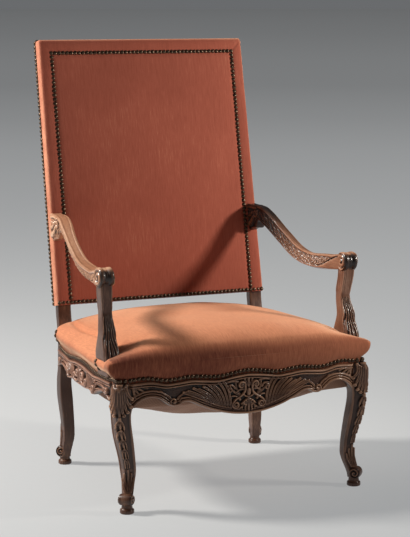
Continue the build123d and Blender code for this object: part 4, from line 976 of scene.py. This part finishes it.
def seat_cover():
    belt, bulge = seat_outline("belt"), seat_outline("bulge")
    off = np.abs((np.clip(belt[:, 1], rail_start_y, rail_end_y) - rail_start_y) / rail_span - 0.5)
    on_front = smooth((-245 - belt[:, 1]) / 20)
    edge_z = mix(side_high(off), apron_high(np.minimum(np.abs(belt[:, 0]), front_end_x)), on_front)
    nail_z = edge_z + nail_rise
    at_front = smooth((-222 - bulge[:, 1]) / 36)
    to_corner = smooth((np.abs(bulge[:, 0]) / seat_front_half - 0.72) / 0.24)
    bulge_z = np.maximum(nail_z + 24, bulge_low_z) + at_front * mix(14, 13, to_corner)
    # From the nailed edge out to the bulge
    rows = [(belt, nail_z - 9), (belt, nail_z - 2), (belt, nail_z + 5)]
    for s in np.linspace(0, 1, 9)[1:]:
        out = mix(smooth(s) ** 0.8, 1 - (1 - s) ** 2.6, at_front)
        rows.append((mix(belt, bulge, out[:, None]), mix(nail_z + 5, bulge_z, s)))
    # From the bulge over a rounded edge to the flat middle
    middle = np.clip(bulge, (-middle_half, middle_front), (middle_half, middle_rear))
    reach = np.linalg.norm(bulge - middle, axis=1)
    share_x = np.abs(bulge[:, 0]) / seat_half(bulge[:, 1])
    share_y = np.abs(bulge[:, 1] + 15) / 290
    roll_width = 16 + mix(29, 10, at_front) * clamp(1 - np.minimum(share_x, share_y) ** 5)
    for t in np.linspace(0, 1, 60)[1:] ** 1.5:
        place = mix(bulge, middle, t)
        near = clamp(t * reach / roll_width)
        rise = np.sqrt(1 - (1 - near) ** 2)
        top = bulge_z + 6 * np.logaddexp(0, (seat_top(place[:, 0], place[:, 1]) - bulge_z) / 6)
        rows.append((place, mix(bulge_z, top, rise)))
    points = np.stack([np.concatenate([place, np.asarray(z)[:, None]], 1) for place, z in rows])
    x, y, z = np.moveaxis(points, -1, 0)
    # Pull of each nail
    pull = smooth((366 - z) / 20)
    facing = bulge - np.roll(bulge, 4, 0)
    facing = np.stack([facing[:, 1], -facing[:, 0]], -1) / np.linalg.norm(facing, axis=1, keepdims=True)
    pucker = 0.6 * np.cos(2 * math.pi * way_along(belt) / nail_pitch) * pull
    x, y = x + pucker * facing[:, 0], y + pucker * facing[:, 1]
    # Painted shade and light on the pile: darkest on the front face, more so to its left, paler to its right
    # as painted light, and paler on the top and sides, partly pile thinned by use and partly painted light
    face = on_front[None, :] * (np.abs(x) < 363)
    rub_and_painted_light = 0.36 * at_front * smooth((x + 210) / 430)
    rub_and_painted_light = np.minimum(rub_and_painted_light + smooth((z - 372 - 20 * at_front) / 34 + 0.75 * (1 - face)), 1)
    shape = Shape().grid(np.stack([x, y, z], -1), rub_and_painted_light, wrap=True)
    u = np.linspace(-1, 1, 60)[:, None] * middle_half
    v = np.linspace(middle_front, middle_rear, 24)[None, :]
    u, v = np.broadcast_arrays(u, v)
    return shape.grid(np.stack([u, v, seat_top(u, v)], -1), np.ones(u.shape))


# Back covers

border_section = through([
    (-0.1, -4.5), (0.0, -1.6), (0.12, 0.9), (0.35, 2.2), (0.65, 1.9), (0.88, -0.6), (0.97, -3.6),
    (1.0, -8), (1.01, -16), (1.01, -26), (1.0, -33), (0.97, -36.3), (0.85, -36.8),
], 44)


def back_place(x, v, w):
    """Point at x across, v up and w in front of the back's face."""
    y = back_bottom_y + v * math.sin(rake) - w * math.cos(rake)
    z = back_bottom_z + v * math.cos(rake) + w * math.sin(rake)
    return np.stack(np.broadcast_arrays(x, y, z), -1)


def back_half(v):
    return mix(back_bottom_half, back_top_half, v / back_height)


def back_panel():
    f = np.sin(np.linspace(-1, 1, 150) * math.pi / 2)[:, None]
    s = np.sin(np.linspace(-1, 1, 190) * math.pi / 2)[None, :]
    x, v = f * (panel_half + 1), (s + 1) / 2 * panel_top
    crown = (1 - np.abs(f) ** 2.6) * (1 - np.abs(s) ** 3.0)
    edge = np.minimum(panel_half - np.abs(x), np.minimum(v, panel_top - v))
    w = -2.0 + 13.0 * crown + 3.0 * np.sqrt(clamp(edge / 14))
    tug = hump(edge, 8)
    w = w - 0.9 * tug * (1 + np.cos(2 * math.pi * x / nail_pitch) * np.cos(2 * math.pi * v / nail_pitch))
    w = w + 0.8 * ripple(x, v, 190, 33) * smooth(edge / 60)
    return Shape().grid(back_place(x, v, w))


def back_border():
    """Padded border swept up one side, over the top and down the other, with mitred corners."""
    inner = mirrored(np.array([(-panel_half, 0), (-panel_half, panel_top)]))
    outer = mirrored(np.array([(-back_bottom_half, 0), (-back_top_half, back_height)]))
    way = np.concatenate([np.linspace(0, 1, 150)[:-1], np.linspace(1, 2, 131)[:-1], np.linspace(2, 3, 150)])
    i = np.minimum(way.astype(int), 2)
    t = (way - i)[:, None]
    near, far = mix(inner[i], inner[i + 1], t), mix(outer[i], outer[i + 1], t)
    outward, depth = border_section.T
    place = mix(near[:, None], far[:, None], outward[:, None])
    to_mitre = np.minimum(np.abs(way - 1), np.abs(way - 2))[:, None] * 650
    seam = hump(to_mitre, 3.0) * (depth > -30)
    place = place * (1 - 0.004 * seam[..., None])
    x, v = place[..., 0], place[..., 1]
    w = depth - 1.5 * seam + 0.6 * ripple(x, v, 90, 12)
    # Painted light: the outer side faces of the border are paler
    rub_and_painted_light = mix(0.45, 1.0, smooth((outward - 0.8) / 0.18))
    return Shape().grid(back_place(x, v, w), rub_and_painted_light)


def outside_back():
    f = np.linspace(-1, 1, 60)[:, None]
    s = np.linspace(-1, 1, 80)[None, :]
    v = (s + 1) / 2 * (back_height - 4)
    x = f * (back_half(v) - 4.5)
    w = border_rear + 0.8 - 1.6 * (1 - f**4) * (1 - s**4) - 0.4 * ripple(x, v, 120, 44) * (1 - f**4)
    return Shape().grid(back_place(x, v, w))


# Cloth under the seat


def bottom_cloth():
    """Sagging cloth with its edges turned up against the inner faces of the rails."""
    a = np.sin(np.linspace(-1, 1, 130) * math.pi / 2)[:, None]
    b = np.sin(np.linspace(-1, 1, 120) * math.pi / 2)[None, :]
    half = mix(335.5, 299.5, (b + 1) / 2)
    x = a * half
    y = mix(front_face_y(np.clip(x, -front_end_x, front_end_x)) + apron_thickness + 0.7, 260.0, (b + 1) / 2)
    sag = (1 - np.abs(a) ** 2.2) * (1 - np.abs(b) ** 2.2)
    fold = 2.6 * ripple(x, y, 120, 51) + 1.4 * np.sin(x / 21 + y / 60)
    edge = np.maximum(np.abs(a), np.abs(b))
    z = 264.0 - 76 * sag + fold * np.sqrt(sag) + 40 * smooth((edge - 0.982) / 0.018)
    return Shape().grid(np.stack(np.broadcast_arrays(x, y, z), -1))


# Nails

nail_outline = np.array([
    (5.7, -0.6), (5.75, 0.4), (5.35, 1.6), (4.4, 2.9), (3.0, 3.7), (1.4, 4.15), (0.1, 4.25),
])
corner_columns = [((-158.0, 374.0), (-172.0, 344.0)), ((243.0, 378.0), (246.0, 345.0))]


def nail_places(node):
    """Base centre and facing of every nail of a CAD node, in metres.

    A nail there is a pyramid of six triangles.
    """
    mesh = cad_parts[node].data
    mesh.calc_loop_triangles()
    corners = np.array([[mesh.vertices[i].co for i in tri.vertices] for tri in mesh.loop_triangles])
    places = []
    for six in corners.reshape(-1, 18, 3):
        points = np.unique(np.round(six, 6), axis=0)
        gaps = np.linalg.norm(points[:, None] - points[None], axis=-1).max(1)
        tip = points[np.argmin(gaps)]
        base = points[np.argsort(gaps)[1:]].mean(0)
        places.append((base, (tip - base) / np.linalg.norm(tip - base)))
    return places


def dome_nails(places, seed):
    """Domed heads on given places, each turned and sized a little differently."""
    rng = np.random.default_rng(seed)
    angle = circle(14)
    shape = Shape()
    for base, facing in places:
        facing = Vector(facing) + Vector(rng.normal(0, 0.05, 3))
        facing.normalize()
        side = facing.orthogonal().normalized()
        other = facing.cross(side)
        size = rng.normal(1.0, 0.02)
        ring = np.outer(np.cos(angle), side) + np.outer(np.sin(angle), other)
        points = nail_outline[:, 0, None, None] * ring + nail_outline[:, 1, None, None] * np.array(facing)
        centre = np.asarray(base) * 1000 - (0, depth_shift, 0)
        shape.grid(centre + points * size, wrap=True, caps=True)
    return shape


def corner_nails(cover, hand):
    """Places of the short nail columns on one side of the seat, behind the arm support and at the rear."""
    outer = [v for v in cover.data.vertices if v.co.x * hand > 0.25]
    points = np.array([v.co for v in outer]) * 1000 - (0, depth_shift, 0)
    places = []
    for start, end in corner_columns:
        for t in np.linspace(0, 1, 4):
            y, z = mix(np.array(start), np.array(end), t)
            nearest = outer[np.argmin(np.hypot(points[:, 1] - y, points[:, 2] - z))]
            places.append((np.array(nearest.co), np.array(nearest.normal)))
    return places


# Assembly

for name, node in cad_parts.items():
    node.data.materials.clear()
    looks = [look for key, look in plain_looks.items() if key in name]
    node.data.materials.append(looks[0] if looks else plain_wood)

apron = add_piece("front_rail_carved", front_apron(), wood_across, ["front_rail"])
# Painted light on the right end of the apron
shift_painted_light(apron, 0, 0.06, 0.16, 0.2)
# Side rails in the lighter stain, as painted light
add_pair("side_rail", side_rail(), lit_side_wood)
add_pair("front_leg", front_leg(), wood_upright)
add_pair("rear_post", rear_leg(), wood_upright)
# The left arm takes the wood paled by use and painted light, the right arm the darker copy as painted shade
arm_pair = add_pair("arm", arm(), worn_lit_arm_wood)
arm_pair[0].data.materials[0] = worn_shaded_arm_wood
# Painted shadow of the back on the right arm's root
shift_painted_light(arm_pair[0], 1, -0.03, 0.2, -0.5)
# The right arm support keeps the lighter stain as painted light; the left takes the plain dark stain
support_pair = add_pair("arm_support", arm_support(), lit_support_wood)
support_pair[1].data.materials[0] = wood_upright

seat = add_piece("seat_cover_velvet", seat_cover(), velvet_seat, ["seat_cover", "seat_stuffing"])
panel_nodes = ["back_panel_cover", "back_stuffing"]
panel = add_piece("back_panel_velvet", back_panel(), velvet_back, panel_nodes)
border = add_piece("back_border_velvet", back_border(), velvet_back, ["back_border_cover"])
outside = add_piece("outside_back_velvet", outside_back(), velvet_back, ["outside_back_cover"])

cloth = add_piece("bottom_cloth_sagging", bottom_cloth(), lining, ["bottom_cloth"])

for name in sorted(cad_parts):
    if "_nails_" in name:
        nails = dome_nails(nail_places(name), len(name))
        add_piece(f"{name}_domed", nails, nail_bronze, [name])
for side_name, hand in (("right", 1), ("left", -1)):
    columns = dome_nails(corner_nails(seat, hand), 60 + hand)
    add_piece(f"seat_corner_nails_{side_name}", columns, nail_bronze)

# Floor, light and camera


def floor_material():
    """Pale floor with painted light: it glows all over, most near the chair and least far off, standing in
    for the lit sweep of a studio, and its own colour is darker near the chair.
    """
    nodes = Nodes("studio_floor")
    far = nodes.add("ShaderNodeVectorMath", {0: nodes.place}, operation="LENGTH").outputs["Value"]
    share = nodes.maths("DIVIDE", 30.0, nodes.maths("ADD", far, 30.0))
    grain = nodes.noise(nodes.place, 40.0, 4.0)
    tones = [(0.5, 0.5), (0.77, 0.4), (0.91, 0.32), (1.0, 0.3)]
    glows = [
        (0.07, 0.109), (0.3, 0.133), (0.45, 0.158), (0.56, 0.168), (0.66, 0.215),
        (0.73, 0.262), (0.78, 0.285), (0.86, 0.31), (0.94, 0.33), (1.0, 0.33),
    ]
    tones, glows = ([(at, (v * 0.98, v, v * 1.01)) for at, v in stops] for stops in (tones, glows))
    return nodes.finish(
        Base_Color=nodes.ramp(share, tones),
        Roughness=nodes.span(grain, 0.6, 0.8),
        Specular_IOR_Level=0.2,
        Emission_Color=nodes.ramp(share, glows),
        Emission_Strength=1.0,
    )


def add_floor():
    mesh = bpy.data.meshes.new("studio_floor")
    steps = 64
    rings = [0.5, 2, 8, 30, 90, 400]
    points = [(r * math.cos(a), r * math.sin(a), 0.0) for r in rings for a in circle(steps)]
    faces = [list(range(steps))]
    for start in range(0, steps * (len(rings) - 1), steps):
        for j in range(steps):
            near, far = start + j, start + (j + 1) % steps
            faces.append([near, near + steps, far + steps, far])
    mesh.from_pydata(points, [], faces)
    mesh.materials.append(floor_material())
    add_object("studio_floor", mesh)


def aim(item, place, ahead):
    """Put a lamp or camera at a place, looking along a direction."""
    item.location = place
    item.rotation_euler = ahead.to_track_quat("-Z", "Y").to_euler()


def add_lamp(name, kind, place, target, power, colour, **values):
    light = bpy.data.lights.new(name, kind)
    light.energy = power
    light.color = colour
    for key, value in values.items():
        setattr(light, key, value)
    aim(add_object(name, light), place, Vector(target) - Vector(place))


def add_camera():
    """Camera that was fitted to the photo, with its focal length in the photo's pixels."""
    focal_pixels, photo_height = 1820.54, 537
    camera = bpy.data.cameras.new("camera")
    camera.sensor_fit = "VERTICAL"
    camera.sensor_height = 36.0
    camera.lens = focal_pixels * camera.sensor_height / photo_height
    view = add_object("camera", camera)
    place = (-1.9889, -4.3912 + depth_shift / 1000, 1.2703)
    aim(view, place, Vector((0.4104, 0.9004, -0.1445)))
    bpy.context.scene.camera = view


def add_world():
    """Dim light from all round, and a grey of its own that only the camera sees."""
    world = bpy.data.worlds.new("studio")
    world.use_nodes = True
    tree = world.node_tree
    soft, output = tree.nodes["Background"], tree.nodes["World Output"]
    kinds = ("Background", "LightPath", "MixShader")
    seen, ray, choice = (tree.nodes.new(f"ShaderNode{kind}") for kind in kinds)
    soft.inputs["Color"].default_value = (0.75, 0.78, 0.82, 1)
    soft.inputs["Strength"].default_value = 0.08
    seen.inputs["Color"].default_value = (0.142, 0.147, 0.153, 1)
    sources = ray.outputs["Is Camera Ray"], soft.outputs["Background"], seen.outputs["Background"]
    for source, socket in zip(sources, choice.inputs):
        tree.links.new(source, socket)
    tree.links.new(choice.outputs["Shader"], output.inputs["Surface"])
    bpy.context.scene.world = world


add_floor()
add_world()
chair_middle, back_middle = (0, -0.05, 0.6), (0.3, 0.3, 0.85)
white, warm, amber = (1.0, 1.0, 1.0), (1.0, 0.96, 0.9), (1.0, 0.94, 0.86)
beam = {"spot_size": math.radians(92), "spot_blend": 1.0, "shadow_soft_size": 0.1}
add_lamp("key_left", "AREA", (-3.05, 1.45, 2.96), chair_middle, 245, warm, shape="DISK", size=0.8)
add_lamp("soft_top", "AREA", (-0.6, 0.2, 4.4), chair_middle, 10, white, shape="DISK", size=3.0)
add_lamp("second_right", "SPOT", (1.37, -0.83, 1.15), back_middle, 95, amber, **beam)
add_camera()
bpy.context.scene.view_settings.view_transform = "Standard"
